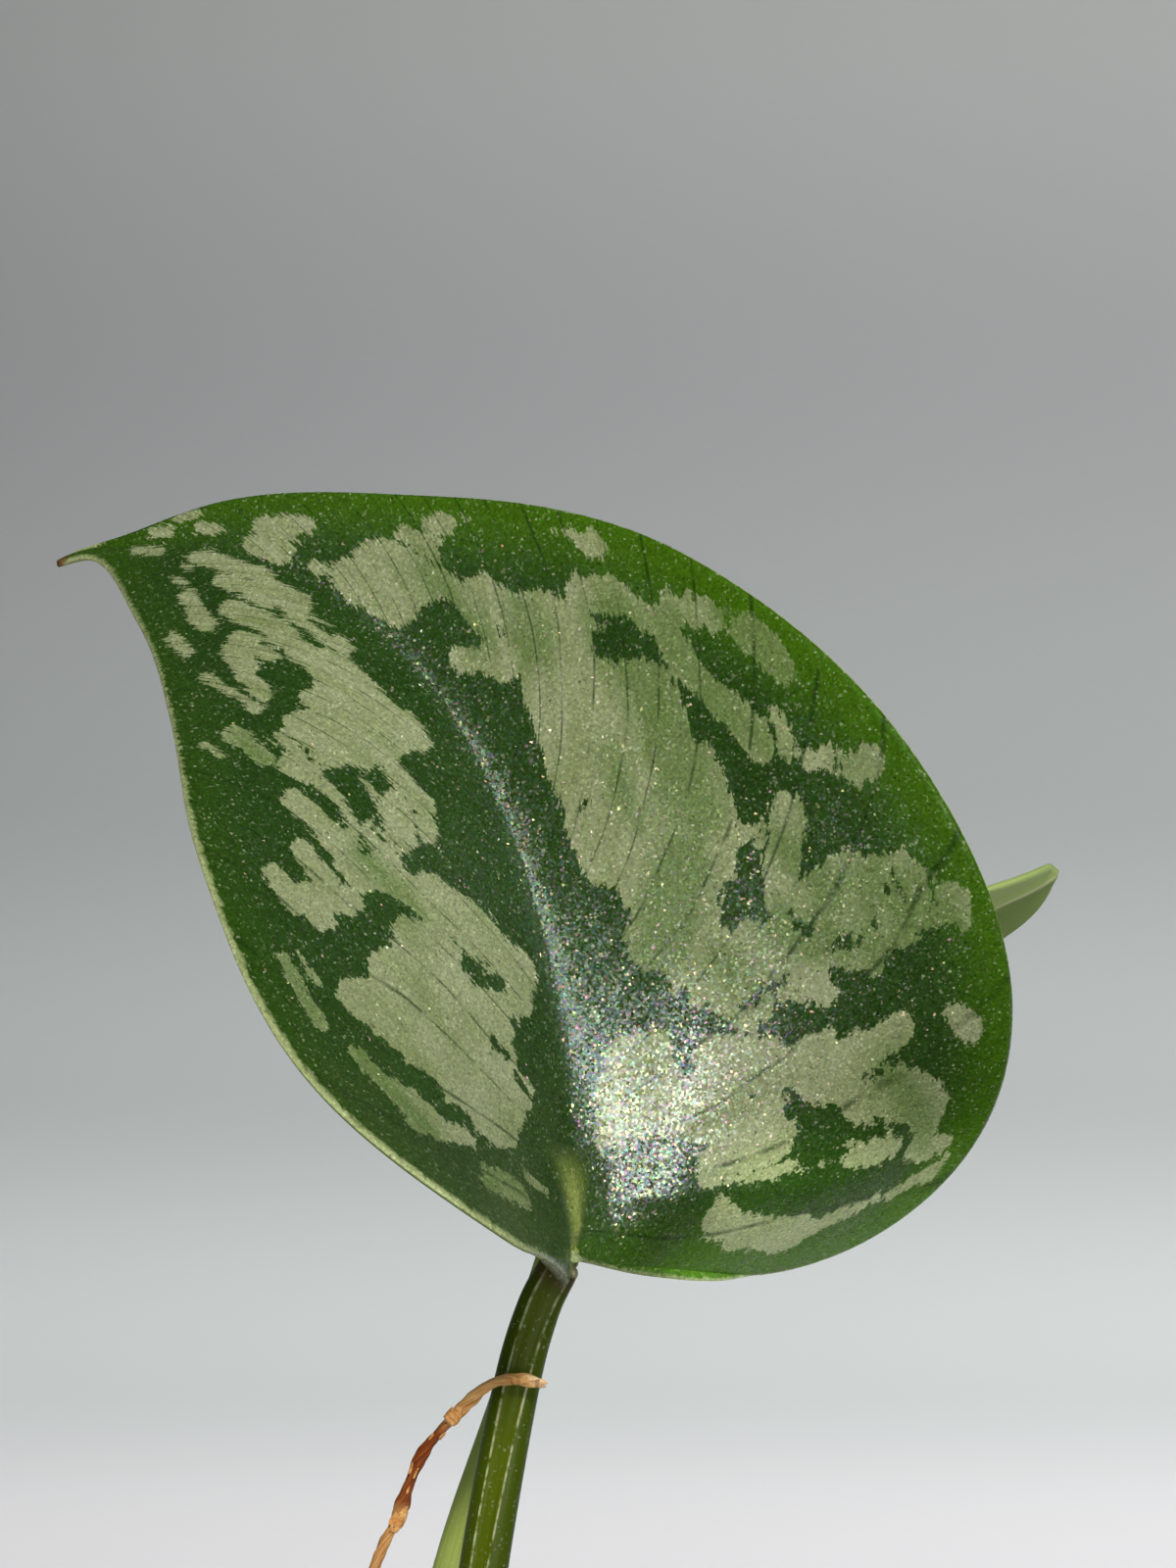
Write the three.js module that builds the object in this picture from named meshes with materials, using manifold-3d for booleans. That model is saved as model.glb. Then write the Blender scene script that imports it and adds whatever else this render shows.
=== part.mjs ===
// A satin pothos, Scindapsus pictus, growing in a plain terracotta pot.
// Millimetres, +Z up. The origin is the centre of the pot's flat underside.

import * as THREE from 'three'
import { mergeVertices } from 'three/addons/utils/BufferGeometryUtils.js'
import Module from 'manifold-3d'

const wasm = await Module()
wasm.setup()

// Clearance kept between neighbouring pieces
const gap = 0.35

const pot = {
  height: 85,
  rimRadius: 52.5,
  rimHeight: 20,
  rimStep: 3,
  rimWidth: 6.5,
  baseRadius: 36,
  wall: 5,
  floor: 6,
  edge: 1.2,
  drainRadius: 4,
  drainOffset: 17,
  drains: 3,
  segments: 48
}

const soil = {
  level: 75,
  mound: 2.5,
  lumps: 0.7,
  rings: 8,
  segments: 40
}

const stem = {
  radius: 2.4,
  buried: 22,
  straight: 4,
  leanStart: 0.4,
  leanHeight: 0.6,
  lowestNode: 0.12,
  nodeSwelling: 0.16,
  nodeLength: 2.2,
  sides: 10,
  steps: 16
}

const petiole = {
  footRadius: 1.9,
  radius: 1.7,
  neckRadius: 1.45,
  groove: 0.16,
  grooveWidth: 0.75,
  headroom: 0.75,
  setBack: 0.8,
  sides: 10,
  steps: 9
}

const blade = {
  thickness: 0.7,
  ribDepth: 1.1,
  baseCrowding: 1.8,
  ribForward: 0.2
}

// Half outlines of the flattened blade, as shares of the midrib's length:
// distance from the midrib, then place along it from the petiole to the drip tip
const wideHalf = [
  [0.012, 0], [0.122, -0.01], [0.264, -0.006], [0.399, 0.034], [0.426, 0.187], [0.375, 0.362],
  [0.269, 0.522], [0.123, 0.689], [0.05, 0.849], [0.01, 0.938], [0.004, 1]
]
const narrowHalf = [
  [0.012, 0], [0.108, -0.005], [0.258, 0.006], [0.347, 0.068], [0.378, 0.18], [0.37, 0.347],
  [0.32, 0.541], [0.217, 0.737], [0.104, 0.869], [0.02, 0.946], [0.004, 1]
]
// The crown leaf's narrow half, whose basal lobe dips past the petiole's end
const lobedHalf = [
  [0.012, -0.004], [0.03, -0.019], [0.07, -0.016], [0.16, -0.006], [0.27, 0.008], [0.345, 0.066],
  [0.377, 0.17], [0.37, 0.33], [0.325, 0.52], [0.225, 0.72], [0.11, 0.862], [0.022, 0.945], [0.004, 1]
]
// Half outline of a leaf that is still opening
const youngHalf = [
  [0.014, 0], [0.07, 0.002], [0.13, 0.035], [0.165, 0.13], [0.17, 0.32], [0.155, 0.52],
  [0.135, 0.7], [0.115, 0.84], [0.085, 0.93], [0.045, 0.98], [0.006, 1]
]

// The large leaf at the top of the plant. Path points are offsets from its base; the facing, fold and
// curl are given at the base, the middle and the tip. Fold is in degrees, curl in degrees per mm.
const crownLeaf = {
  name: 'crown_leaf_blade',
  base: [8.3, 0, 166.2],
  path: [[1.5, 5.5, 36.5], [-13.5, 10, 63.5], [-44.5, 22, 58.5]],
  facing: [[0.28, -0.28, -0.92], [0.38, -0.93, -0.01], [0.17, -0.79, 0.59]],
  left: { outline: lobedHalf, fold: [20, 26, 5], curl: [-0.41, -0.08, -0.47] },
  right: { outline: wideHalf, fold: [18, 29, 5], curl: [-0.3, 0.09, -0.48] },
  rows: 28,
  ribShares: [0, 0.07, 0.22, 0.42, 0.62, 0.82, 1]
}

// The young leaf close behind it, still narrow and pale, nearly level and seen from a little below
const rearLeaf = {
  name: 'rear_leaf_blade',
  base: [12.3, 17, 180],
  path: [[9, 4.5, 8], [30.2, 14, 10.5], [40.2, 17, 17]],
  facing: [[-0.5, 0.6, 0.6], [-0.1, 0.6, 0.8], [-0.3, 0.6, 0.74]],
  left: { outline: youngHalf, fold: [14, 0, -8], curl: [-0.2, -0.2, -0.2] },
  right: { outline: youngHalf, fold: [14, -6, -20], curl: [-0.2, -0.2, -0.2] },
  rows: 16,
  ribShares: [0, 0.1, 0.4, 0.72, 1]
}

// Petioles of those two leaves: the share of the stem's axis where each begins, and the path from there
// to just under the blade. Their grooves face the front.
const crownPetiole = {
  from: 0.985,
  path: [[-1, 3.2, 122], [1.7, 2.4, 140.8], [4.3, 1.5, 155.3], [6.1, 0.8, 161.9]]
}
const rearPetiole = {
  from: 0.9,
  path: [[-5.2, 9.5, 122], [-1.3, 12, 138.8], [3.4, 12.6, 153.2], [8.4, 14.5, 169], [10.8, 15.8, 176.5]]
}

// Leafy shoots. Foot and lean are horizontal, azimuths run from +X towards +Y, angles in degrees.
// Each arched leaf leaves its stem at a share of the height, with its blade set out and up from there.
const shoots = [
  {
    name: 'crown_stem',
    foot: [-6, 8],
    lean: [3, -4],
    height: 33,
    leaves: [
      {
        name: 'crown_low_leaf_blade',
        at: 0.45,
        azimuth: 150,
        reach: 26,
        rise: 15,
        length: 66,
        lift: 12,
        droop: 48,
        sweep: 14,
        roll: -10
      }
    ]
  },
  {
    name: 'right_stem',
    foot: [21, -5],
    lean: [7, -5],
    height: 29,
    leaves: [
      {
        name: 'right_front_leaf_blade',
        at: 1,
        azimuth: -38,
        reach: 22,
        rise: 18,
        length: 74,
        lift: 22,
        droop: 52,
        sweep: -12,
        roll: 8
      },
      {
        name: 'right_back_leaf_blade',
        at: 0.72,
        azimuth: 32,
        reach: 24,
        rise: 14,
        length: 68,
        lift: 14,
        droop: 46,
        sweep: 15,
        roll: -8
      },
      {
        name: 'front_leaf_blade',
        at: 0.4,
        azimuth: -98,
        reach: 26,
        rise: 14,
        length: 60,
        lift: 10,
        droop: 50,
        sweep: 10,
        roll: 6
      }
    ]
  },
  {
    name: 'left_stem',
    foot: [-24, -9],
    lean: [-7, -5],
    height: 27,
    leaves: [
      {
        name: 'left_front_leaf_blade',
        at: 1,
        azimuth: 236,
        reach: 20,
        rise: 17,
        length: 70,
        lift: 20,
        droop: 54,
        sweep: 12,
        roll: -8
      },
      {
        name: 'left_leaf_blade',
        at: 0.6,
        azimuth: 194,
        reach: 24,
        rise: 12,
        length: 62,
        lift: 8,
        droop: 50,
        sweep: -10,
        roll: 8
      }
    ]
  },
  {
    name: 'back_stem',
    foot: [4, 29],
    lean: [2, 8],
    height: 22,
    leaves: [
      {
        name: 'back_leaf_blade',
        at: 1,
        azimuth: 70,
        reach: 18,
        rise: 10,
        length: 66,
        lift: 10,
        droop: 52,
        sweep: 12,
        roll: 8
      },
      {
        name: 'back_left_leaf_blade',
        at: 0.55,
        azimuth: 112,
        reach: 22,
        rise: 9,
        length: 58,
        lift: 10,
        droop: 48,
        sweep: -12,
        roll: -6
      }
    ]
  }
]

// Shape shared by the arched leaves. The legs are those of the midrib's control polygon, as shares of the
// blade's length; the bend and the neck place the petiole's path between its stem and its blade.
const arched = {
  half: { fold: [20, 15, 10], curl: [-0.35, -0.3, -0.4] },
  legs: [0.38, 0.3, 0.36],
  bendOut: 0.35,
  bendUp: 0.55,
  neckLength: 5,
  neckDrop: 0.8,
  rows: 16,
  ribShares: [0, 0.1, 0.4, 0.72, 1]
}

// Dry remnant of a bud sheath: it rises from the crown stem and crosses in front of the petiole
const dryStrand = {
  name: 'dry_sheath_strand',
  stemShare: 0.82,
  side: [-0.8, -0.6, 0],
  path: [
    [-9.5, 0.5, 119], [-10.4, -0.8, 130], [-7.3, -1.2, 141.4], [-5.5, -1.2, 145.4], [-3.5, -1.2, 150.5],
    [-0.6, -1.2, 153.9], [2, -1.3, 156.2], [4.1, -1.4, 156.7], [6.2, -1.4, 156.4]
  ],
  radius: 0.5,
  knots: [0.42, 0.72],
  knotSwelling: 0.35,
  knotLength: 0.03,
  sides: 7,
  steps: 34
}

const materials = {
  terracotta: new THREE.MeshStandardMaterial({ color: '#b5674a', roughness: 0.9, metalness: 0 }),
  pottingMix: new THREE.MeshStandardMaterial({ color: '#3b2a20', roughness: 1, metalness: 0 }),
  greenStem: new THREE.MeshStandardMaterial({ color: '#45652a', roughness: 0.5, metalness: 0 }),
  satinLeaf: new THREE.MeshStandardMaterial({ color: '#3f7034', roughness: 0.45, metalness: 0 }),
  dryHusk: new THREE.MeshStandardMaterial({ color: '#a9763f', roughness: 0.8, metalness: 0 })
}

const up = new THREE.Vector3(0, 0, 1)
const front = new THREE.Vector3(0, -1, 0)

const vector = (xyz) => new THREE.Vector3(...xyz)

const radians = THREE.MathUtils.degToRad

// Value at a share of the way through three values given at 0, a half and 1
function through ([start, middle, end], share) {
  const s = THREE.MathUtils.clamp(share, 0, 1)
  return start * 2 * (s - 0.5) * (s - 1) + middle * 4 * s * (1 - s) + end * 2 * s * (s - 0.5)
}

// Quadratic blend of three directions
function blended ([start, middle, end], share) {
  const s = THREE.MathUtils.clamp(share, 0, 1)
  return new THREE.Vector3()
    .addScaledVector(vector(start), (1 - s) * (1 - s))
    .addScaledVector(vector(middle), 2 * s * (1 - s))
    .addScaledVector(vector(end), s * s)
}

// The part of a direction that is square to another
function squareTo (direction, axis) {
  return direction.clone().addScaledVector(axis, -direction.dot(axis)).normalize()
}

// Closed indexed geometry from points and triangles
function meshFrom (points, triangles) {
  const geometry = new THREE.BufferGeometry()
  geometry.setAttribute('position', new THREE.Float32BufferAttribute(points.flatMap((p) => p.toArray()), 3))
  geometry.setIndex(triangles.flat())
  return geometry
}

// A closed three.js geometry as a solid that can be joined and cut
function solidFrom (geometry) {
  const bare = geometry.clone()
  bare.deleteAttribute('normal')
  bare.deleteAttribute('uv')
  const merged = mergeVertices(bare, 1e-4)
  const corners = merged.index.array
  const kept = []
  for (let i = 0; i < corners.length; i += 3) {
    const [a, b, c] = corners.slice(i, i + 3)
    if (a !== b && b !== c && c !== a) kept.push(a, b, c)
  }
  const positions = new Float32Array(merged.attributes.position.array)
  return new wasm.Manifold(
    new wasm.Mesh({ numProp: 3, vertProperties: positions, triVerts: new Uint32Array(kept) })
  )
}

function geometryFrom (solid) {
  const mesh = solid.getMesh()
  const geometry = new THREE.BufferGeometry()
  geometry.setAttribute('position', new THREE.BufferAttribute(mesh.vertProperties, 3))
  geometry.setIndex(new THREE.BufferAttribute(mesh.triVerts, 1))
  return geometry
}

// Midrib of a leaf: a cubic curve with a facing direction carried along it
function midribOf (leaf) {
  const base = vector(leaf.base)
  const points = [base, ...leaf.path.map((offset) => vector(offset).add(base))]
  const curve = new THREE.CubicBezierCurve3(...points)
  const length = curve.getLength()
  return {
    length,
    at (share) {
      const s = THREE.MathUtils.clamp(share, 0, 1)
      const tangent = curve.getTangentAt(s).normalize()
      const point = curve.getPointAt(s).addScaledVector(tangent, (share - s) * length)
      const normal = squareTo(blended(leaf.facing, share), tangent)
      const across = new THREE.Vector3().crossVectors(tangent, normal)
      return { point, normal, across }
    }
  }
}

// Point of the blade's middle surface: each half leaves the midrib at its fold angle and bends with its curl
function bladePoint (midrib, half, side, distance, share) {
  const frame = midrib.at(share)
  const fold = radians(through(half.fold, share))
  const curl = radians(through(half.curl, share)) || 1e-6
  const along = (Math.sin(fold + curl * distance) - Math.sin(fold)) / curl
  const rise = (Math.cos(fold) - Math.cos(fold + curl * distance)) / curl
  return frame.point.addScaledVector(frame.across, side * along).addScaledVector(frame.normal, rise)
}

// Grid of the blade's middle surface: a row for each rib, from the left margin over the midrib to the right
function bladeGrid (leaf) {
  const midrib = midribOf(leaf)
  const halves = [{ half: leaf.left, side: -1 }, { half: leaf.right, side: 1 }]
  const margins = halves.map(({ half }) => new THREE.CatmullRomCurve3(
    half.outline.map(([x, y]) => new THREE.Vector3(x, y, 0)), false, 'catmullrom', 0.5))
  const grid = []
  for (let row = 0; row <= leaf.rows; row++) {
    const step = row / leaf.rows
    const root = step ** blade.baseCrowding
    const [left, right] = halves.map(({ half, side }, index) => {
      const margin = margins[index].getPoint(step)
      const bend = root + blade.ribForward * (margin.y - root)
      return leaf.ribShares.map((u) => {
        const y = (1 - u) ** 2 * root + 2 * u * (1 - u) * bend + u * u * margin.y
        return bladePoint(midrib, half, side, u * margin.x * midrib.length, y)
      })
    })
    grid.push([...left.slice(1).reverse(), ...right])
  }
  return grid
}

// Mean normals of a grid of points, on the face that the rows and columns turn towards
function gridNormals (grid) {
  const normals = grid.map((row) => row.map(() => new THREE.Vector3()))
  const corner = (a, b, c) => new THREE.Vector3().crossVectors(b.clone().sub(a), c.clone().sub(a))
  for (let i = 0; i < grid.length - 1; i++) {
    for (let j = 0; j < grid[0].length - 1; j++) {
      const cells = [[[i, j], [i, j + 1], [i + 1, j + 1]], [[i, j], [i + 1, j + 1], [i + 1, j]]]
      for (const cell of cells) {
        const face = corner(...cell.map(([r, c]) => grid[r][c]))
        cell.forEach(([r, c]) => normals[r][c].add(face))
      }
    }
  }
  return normals.map((row) => row.map((normal) => normal.normalize()))
}

// A closed blade: the grid's upper and under faces, and a rim between them
function bladeGeometry (leaf) {
  const grid = bladeGrid(leaf)
  const normals = gridNormals(grid)
  const rows = grid.length
  const columns = grid[0].length
  const middle = (columns - 1) / 2
  const points = []
  for (const face of [1, -1]) {
    grid.forEach((row, i) => row.forEach((point, j) => {
      const rib = face < 0 && j === middle ? blade.ribDepth * (1 - i / (rows - 1)) : 0
      points.push(point.clone().addScaledVector(normals[i][j], face * (blade.thickness / 2 + rib)))
    }))
  }
  const upper = (i, j) => i * columns + j
  const under = (i, j) => rows * columns + i * columns + j
  const triangles = []
  for (let i = 0; i < rows - 1; i++) {
    for (let j = 0; j < columns - 1; j++) {
      triangles.push([upper(i, j), upper(i, j + 1), upper(i + 1, j + 1)])
      triangles.push([upper(i, j), upper(i + 1, j + 1), upper(i + 1, j)])
      triangles.push([under(i, j), under(i + 1, j + 1), under(i, j + 1)])
      triangles.push([under(i, j), under(i + 1, j), under(i + 1, j + 1)])
    }
  }
  const rim = (a, b) => {
    triangles.push([upper(...a), under(...b), upper(...b)])
    triangles.push([upper(...a), under(...a), under(...b)])
  }
  for (let j = 0; j < columns - 1; j++) {
    rim([0, j], [0, j + 1])
    rim([rows - 1, j + 1], [rows - 1, j])
  }
  for (let i = 0; i < rows - 1; i++) {
    rim([i + 1, 0], [i, 0])
    rim([i, columns - 1], [i + 1, columns - 1])
  }
  return meshFrom(points, triangles)
}

// A closed round bar along a curve. Its radius depends on the share of the way and the angle round it,
// which is measured from the reference direction.
function barGeometry (curve, steps, sides, reference, radiusAt) {
  const points = []
  const triangles = []
  for (let i = 0; i <= steps; i++) {
    const share = i / steps
    const centre = curve.getPointAt(share)
    const tangent = curve.getTangentAt(share)
    const first = squareTo(reference, tangent)
    const second = new THREE.Vector3().crossVectors(tangent, first)
    for (let j = 0; j < sides; j++) {
      const angle = (2 * Math.PI * j) / sides
      const radius = radiusAt(share, angle)
      points.push(centre.clone()
        .addScaledVector(first, radius * Math.cos(angle))
        .addScaledVector(second, radius * Math.sin(angle)))
    }
  }
  for (let i = 0; i < steps; i++) {
    for (let j = 0; j < sides; j++) {
      const next = (j + 1) % sides
      const [a, b] = [i * sides + j, i * sides + next]
      triangles.push([a, b, b + sides], [a, b + sides, a + sides])
    }
  }
  const start = points.push(curve.getPointAt(0)) - 1
  const end = points.push(curve.getPointAt(1)) - 1
  const last = steps * sides
  for (let j = 0; j < sides; j++) {
    const next = (j + 1) % sides
    triangles.push([start, next, j], [end, last + j, last + next])
  }
  return meshFrom(points, triangles)
}

// Stem axis: upright in the soil, then leaning as it climbs
function stemCurve (shoot) {
  const [x, y] = shoot.foot
  const [dx, dy] = shoot.lean
  const ground = soil.level + soil.mound
  const leaning = (lean, height) =>
    new THREE.Vector3(x + dx * lean, y + dy * lean, ground + shoot.height * height)
  return new THREE.CatmullRomCurve3([
    new THREE.Vector3(x, y, ground - stem.buried),
    new THREE.Vector3(x, y, ground + stem.straight),
    leaning(stem.leanStart, stem.leanHeight),
    leaning(1, 1)
  ], false, 'catmullrom', 0.5)
}

// Share along the stem's axis for a share of its height above the soil
function stemShare (shoot, share) {
  return (stem.buried + share * shoot.height) / (stem.buried + shoot.height)
}

function petioleSolid (points, groovedSide) {
  const curve = new THREE.CatmullRomCurve3(points, false, 'catmullrom', 0.5)
  const radiusAt = (share, angle) => {
    const foot = (petiole.footRadius - petiole.radius) * (1 - share) ** 2
    const neck = (petiole.neckRadius - petiole.radius) * share ** 6
    const turned = Math.min(angle, 2 * Math.PI - angle)
    const groove = 1 - petiole.groove * Math.exp(-((turned / petiole.grooveWidth) ** 2))
    return (petiole.radius + foot + neck) * groove
  }
  return solidFrom(barGeometry(curve, petiole.steps, petiole.sides, groovedSide, radiusAt))
}

// End of a petiole, in line with the thick foot of the midrib and just short of it
function petioleEnd (leaf) {
  const start = vector(leaf.path[0]).normalize()
  const normal = squareTo(vector(leaf.facing[0]), start)
  return vector(leaf.base).addScaledVector(start, -petiole.headroom).addScaledVector(normal, -petiole.setBack)
}

function uprightPetioleSolid (shoot, route, leaf) {
  const root = stemCurve(shoot).getPointAt(route.from)
  return petioleSolid([root, ...route.path.map(vector), petioleEnd(leaf)], front)
}

// A leaf that rises from its stem and arches over
function archedLeaf (shoot, spec, index) {
  const root = stemCurve(shoot).getPointAt(stemShare(shoot, spec.at))
  const heading = (degrees) => new THREE.Vector3(Math.cos(radians(degrees)), Math.sin(radians(degrees)), 0)
  const tilted = (direction, degrees) => direction.clone().multiplyScalar(Math.cos(radians(degrees)))
    .addScaledVector(up, Math.sin(radians(degrees)))
  const out = heading(spec.azimuth)
  const turned = heading(spec.azimuth + spec.sweep)
  const start = tilted(out, spec.lift)
  const end = tilted(turned, -spec.droop)
  const middle = start.clone().add(end).normalize()
  const base = root.clone().addScaledVector(out, spec.reach).addScaledVector(up, spec.rise)
  const first = start.clone().multiplyScalar(spec.length * arched.legs[0])
  const second = first.clone().addScaledVector(middle, spec.length * arched.legs[1])
  const third = second.clone().addScaledVector(end, spec.length * arched.legs[2])
  const facing = [[start, out], [middle, out], [end, turned]].map(([tangent]) =>
    squareTo(up, tangent).applyAxisAngle(tangent, radians(spec.roll)).toArray())
  const outlines = index % 2 ? [wideHalf, narrowHalf] : [narrowHalf, wideHalf]
  return {
    name: spec.name,
    root,
    out,
    base: base.toArray(),
    path: [first, second, third].map((offset) => offset.toArray()),
    facing,
    left: { outline: outlines[0], ...arched.half },
    right: { outline: outlines[1], ...arched.half },
    rows: arched.rows,
    ribShares: arched.ribShares
  }
}

function archedPetioleSolid (leaf) {
  const end = petioleEnd(leaf)
  const start = vector(leaf.path[0]).normalize()
  const rise = end.z - leaf.root.z
  const bend = leaf.root.clone()
    .addScaledVector(leaf.out, rise * arched.bendOut)
    .addScaledVector(up, rise * arched.bendUp)
  const neck = end.clone().addScaledVector(start, -arched.neckLength)
  neck.z -= arched.neckDrop
  return petioleSolid([leaf.root, bend, neck, end], up)
}

function stemSolid (shoot) {
  const nodes = [stem.lowestNode, ...shoot.leaves.map((leaf) => leaf.at), 1]
    .map((share) => stemShare(shoot, share))
  const curve = stemCurve(shoot)
  const length = curve.getLength()
  const radiusAt = (share) => {
    const swelling = nodes.reduce((sum, node) =>
      Math.max(sum, Math.exp(-(((share - node) * length / stem.nodeLength) ** 2))), 0)
    return stem.radius * (1 + stem.nodeSwelling * swelling)
  }
  return solidFrom(barGeometry(curve, stem.steps, stem.sides, new THREE.Vector3(1, 0, 0), radiusAt))
}

function potGeometry () {
  const rimBottom = pot.height - pot.rimHeight
  const neckRadius = pot.rimRadius - pot.rimStep
  const innerTop = pot.rimRadius - pot.rimWidth
  const profile = [
    [0, 0],
    [pot.baseRadius - pot.edge, 0],
    [pot.baseRadius, pot.edge],
    [neckRadius, rimBottom],
    [pot.rimRadius - pot.edge, rimBottom],
    [pot.rimRadius - pot.edge / 2, rimBottom + pot.edge],
    [pot.rimRadius, pot.height - pot.edge],
    [pot.rimRadius - pot.edge, pot.height],
    [innerTop + pot.edge, pot.height],
    [innerTop, pot.height - pot.edge],
    [pot.baseRadius - pot.wall, pot.floor],
    [0, pot.floor]
  ]
  const lathe = new THREE.LatheGeometry(profile.map(([r, z]) => new THREE.Vector2(r, z)), pot.segments)
  lathe.rotateX(Math.PI / 2)
  let body = solidFrom(lathe)
  for (let i = 0; i < pot.drains; i++) {
    const angle = (2 * Math.PI * i) / pot.drains
    const drill = new THREE.CylinderGeometry(pot.drainRadius, pot.drainRadius, pot.floor * 3, 16)
    drill.rotateX(Math.PI / 2)
    drill.translate(pot.drainOffset * Math.cos(angle), pot.drainOffset * Math.sin(angle), 0)
    body = body.subtract(solidFrom(drill))
  }
  return geometryFrom(body)
}

// Radius of the pot's inside at a height
function potInside (z) {
  const bottom = pot.baseRadius - pot.wall
  const top = pot.rimRadius - pot.rimWidth
  return bottom + (top - bottom) * (z - pot.floor) / (pot.height - pot.edge - pot.floor)
}

// The soil's mounded, slightly lumpy surface
function soilHeight (radius, angle) {
  const share = radius / potInside(soil.level)
  const lumps = Math.sin(3 * angle + 9 * share) + 0.7 * Math.sin(7 * angle - 15 * share + 1.3)
  return soil.level + soil.mound * (1 - share * share) + soil.lumps * share * lumps
}

function soilGeometry () {
  const points = [new THREE.Vector3(0, 0, soil.level + soil.mound)]
  const triangles = []
  const rim = potInside(soil.level - soil.mound) - gap
  const ring = (radius, height) => {
    for (let j = 0; j < soil.segments; j++) {
      const angle = (2 * Math.PI * j) / soil.segments
      points.push(new THREE.Vector3(radius * Math.cos(angle), radius * Math.sin(angle), height(angle)))
    }
  }
  for (let i = 1; i <= soil.rings; i++) {
    const radius = rim * i / soil.rings
    ring(radius, (angle) => soilHeight(radius, angle))
  }
  const bottom = pot.floor + gap
  ring(potInside(bottom) - gap, () => bottom)
  const middle = points.push(new THREE.Vector3(0, 0, bottom)) - 1
  const count = soil.segments
  for (let j = 0; j < count; j++) {
    const next = (j + 1) % count
    triangles.push([0, 1 + j, 1 + next])
    triangles.push([middle, middle - count + next, middle - count + j])
    for (let i = 0; i < soil.rings; i++) {
      const [a, b] = [1 + i * count + j, 1 + i * count + next]
      triangles.push([a, a + count, b + count], [a, b + count, b])
    }
  }
  let body = solidFrom(meshFrom(points, triangles))
  for (const shoot of shoots) {
    const depth = soil.mound + stem.buried + gap
    const radius = stem.radius * (1 + stem.nodeSwelling) + gap
    const hole = new THREE.CylinderGeometry(radius, radius, depth * 2, 16)
    hole.rotateX(Math.PI / 2)
    hole.translate(...shoot.foot, soil.level + soil.mound - stem.buried - gap + depth)
    body = body.subtract(solidFrom(hole))
  }
  return geometryFrom(body)
}

function strandGeometry () {
  const crown = shoots[0]
  const side = vector(dryStrand.side)
  const away = stem.radius * (1 + stem.nodeSwelling) + gap + dryStrand.radius
  const root = stemCurve(crown).getPointAt(stemShare(crown, dryStrand.stemShare)).addScaledVector(side, away)
  const curve = new THREE.CatmullRomCurve3([root, ...dryStrand.path.map(vector)], false, 'catmullrom', 0.5)
  const radiusAt = (share) => dryStrand.radius * (1 + dryStrand.knotSwelling *
    dryStrand.knots.reduce((sum, knot) => sum + Math.exp(-(((share - knot) / dryStrand.knotLength) ** 2)), 0))
  return barGeometry(curve, dryStrand.steps, dryStrand.sides, new THREE.Vector3(0.3, 1, 0.1), radiusAt)
}

const plant = new THREE.Group()

function addPiece (name, geometry, material) {
  const mesh = new THREE.Mesh(geometry, material)
  mesh.name = name
  plant.add(mesh)
}

addPiece('pot', potGeometry(), materials.terracotta)
addPiece('soil', soilGeometry(), materials.pottingMix)

for (const shoot of shoots) {
  const leaves = shoot.leaves.map((spec, index) => archedLeaf(shoot, spec, index))
  let body = stemSolid(shoot)
  for (const leaf of leaves) {
    body = body.add(archedPetioleSolid(leaf))
  }
  if (shoot === shoots[0]) {
    body = body.add(uprightPetioleSolid(shoot, crownPetiole, crownLeaf))
    body = body.add(uprightPetioleSolid(shoot, rearPetiole, rearLeaf))
    leaves.unshift(crownLeaf, rearLeaf)
  }
  addPiece(shoot.name, geometryFrom(body), materials.greenStem)
  for (const leaf of leaves) {
    addPiece(leaf.name, bladeGeometry(leaf), materials.satinLeaf)
  }
}

addPiece(dryStrand.name, strandGeometry(), materials.dryHusk)

export default plant
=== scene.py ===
import math
import random

import bmesh
import bpy
import numpy as np
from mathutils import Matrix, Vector


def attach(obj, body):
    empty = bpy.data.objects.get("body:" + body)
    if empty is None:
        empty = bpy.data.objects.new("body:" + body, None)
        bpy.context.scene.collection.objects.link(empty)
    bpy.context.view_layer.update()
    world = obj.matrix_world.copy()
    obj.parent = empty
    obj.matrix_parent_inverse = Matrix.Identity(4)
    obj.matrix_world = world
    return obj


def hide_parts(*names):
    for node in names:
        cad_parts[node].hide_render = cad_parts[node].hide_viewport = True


# A satin pothos in a terracotta pot: the finished look of the plant, built round its CAD model.
# The scene is in metres, the values below are in millimetres, as in the model's own source.

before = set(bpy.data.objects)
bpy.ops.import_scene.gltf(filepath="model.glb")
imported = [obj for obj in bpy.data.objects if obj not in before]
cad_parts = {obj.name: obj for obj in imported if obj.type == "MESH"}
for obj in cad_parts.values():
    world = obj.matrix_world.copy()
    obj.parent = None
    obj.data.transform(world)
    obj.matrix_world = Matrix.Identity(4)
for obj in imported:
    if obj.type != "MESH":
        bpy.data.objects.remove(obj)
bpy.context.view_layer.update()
mm = 0.001
up = np.array([0.0, 0.0, 1.0])


def linear(hexColour):
    # sRGB hex to the linear colour that shaders take
    channels = [int(hexColour[i:i + 2], 16) / 255 for i in (1, 3, 5)]
    return tuple(c / 12.92 if c <= 0.04045 else ((c + 0.055) / 1.055) ** 2.4 for c in channels) + (1.0,)


def add(tree, kind, inputs=None, **settings):
    # adds one node with its settings, its input values and its links
    made = tree.nodes.new(kind)
    for name, value in settings.items():
        setattr(made, name, value)
    for name, value in (inputs or {}).items():
        if isinstance(value, bpy.types.Node):
            value = value.outputs[0]
        if isinstance(value, bpy.types.NodeSocket):
            tree.links.new(value, made.inputs[name])
        else:
            made.inputs[name].default_value = value
    return made


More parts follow.
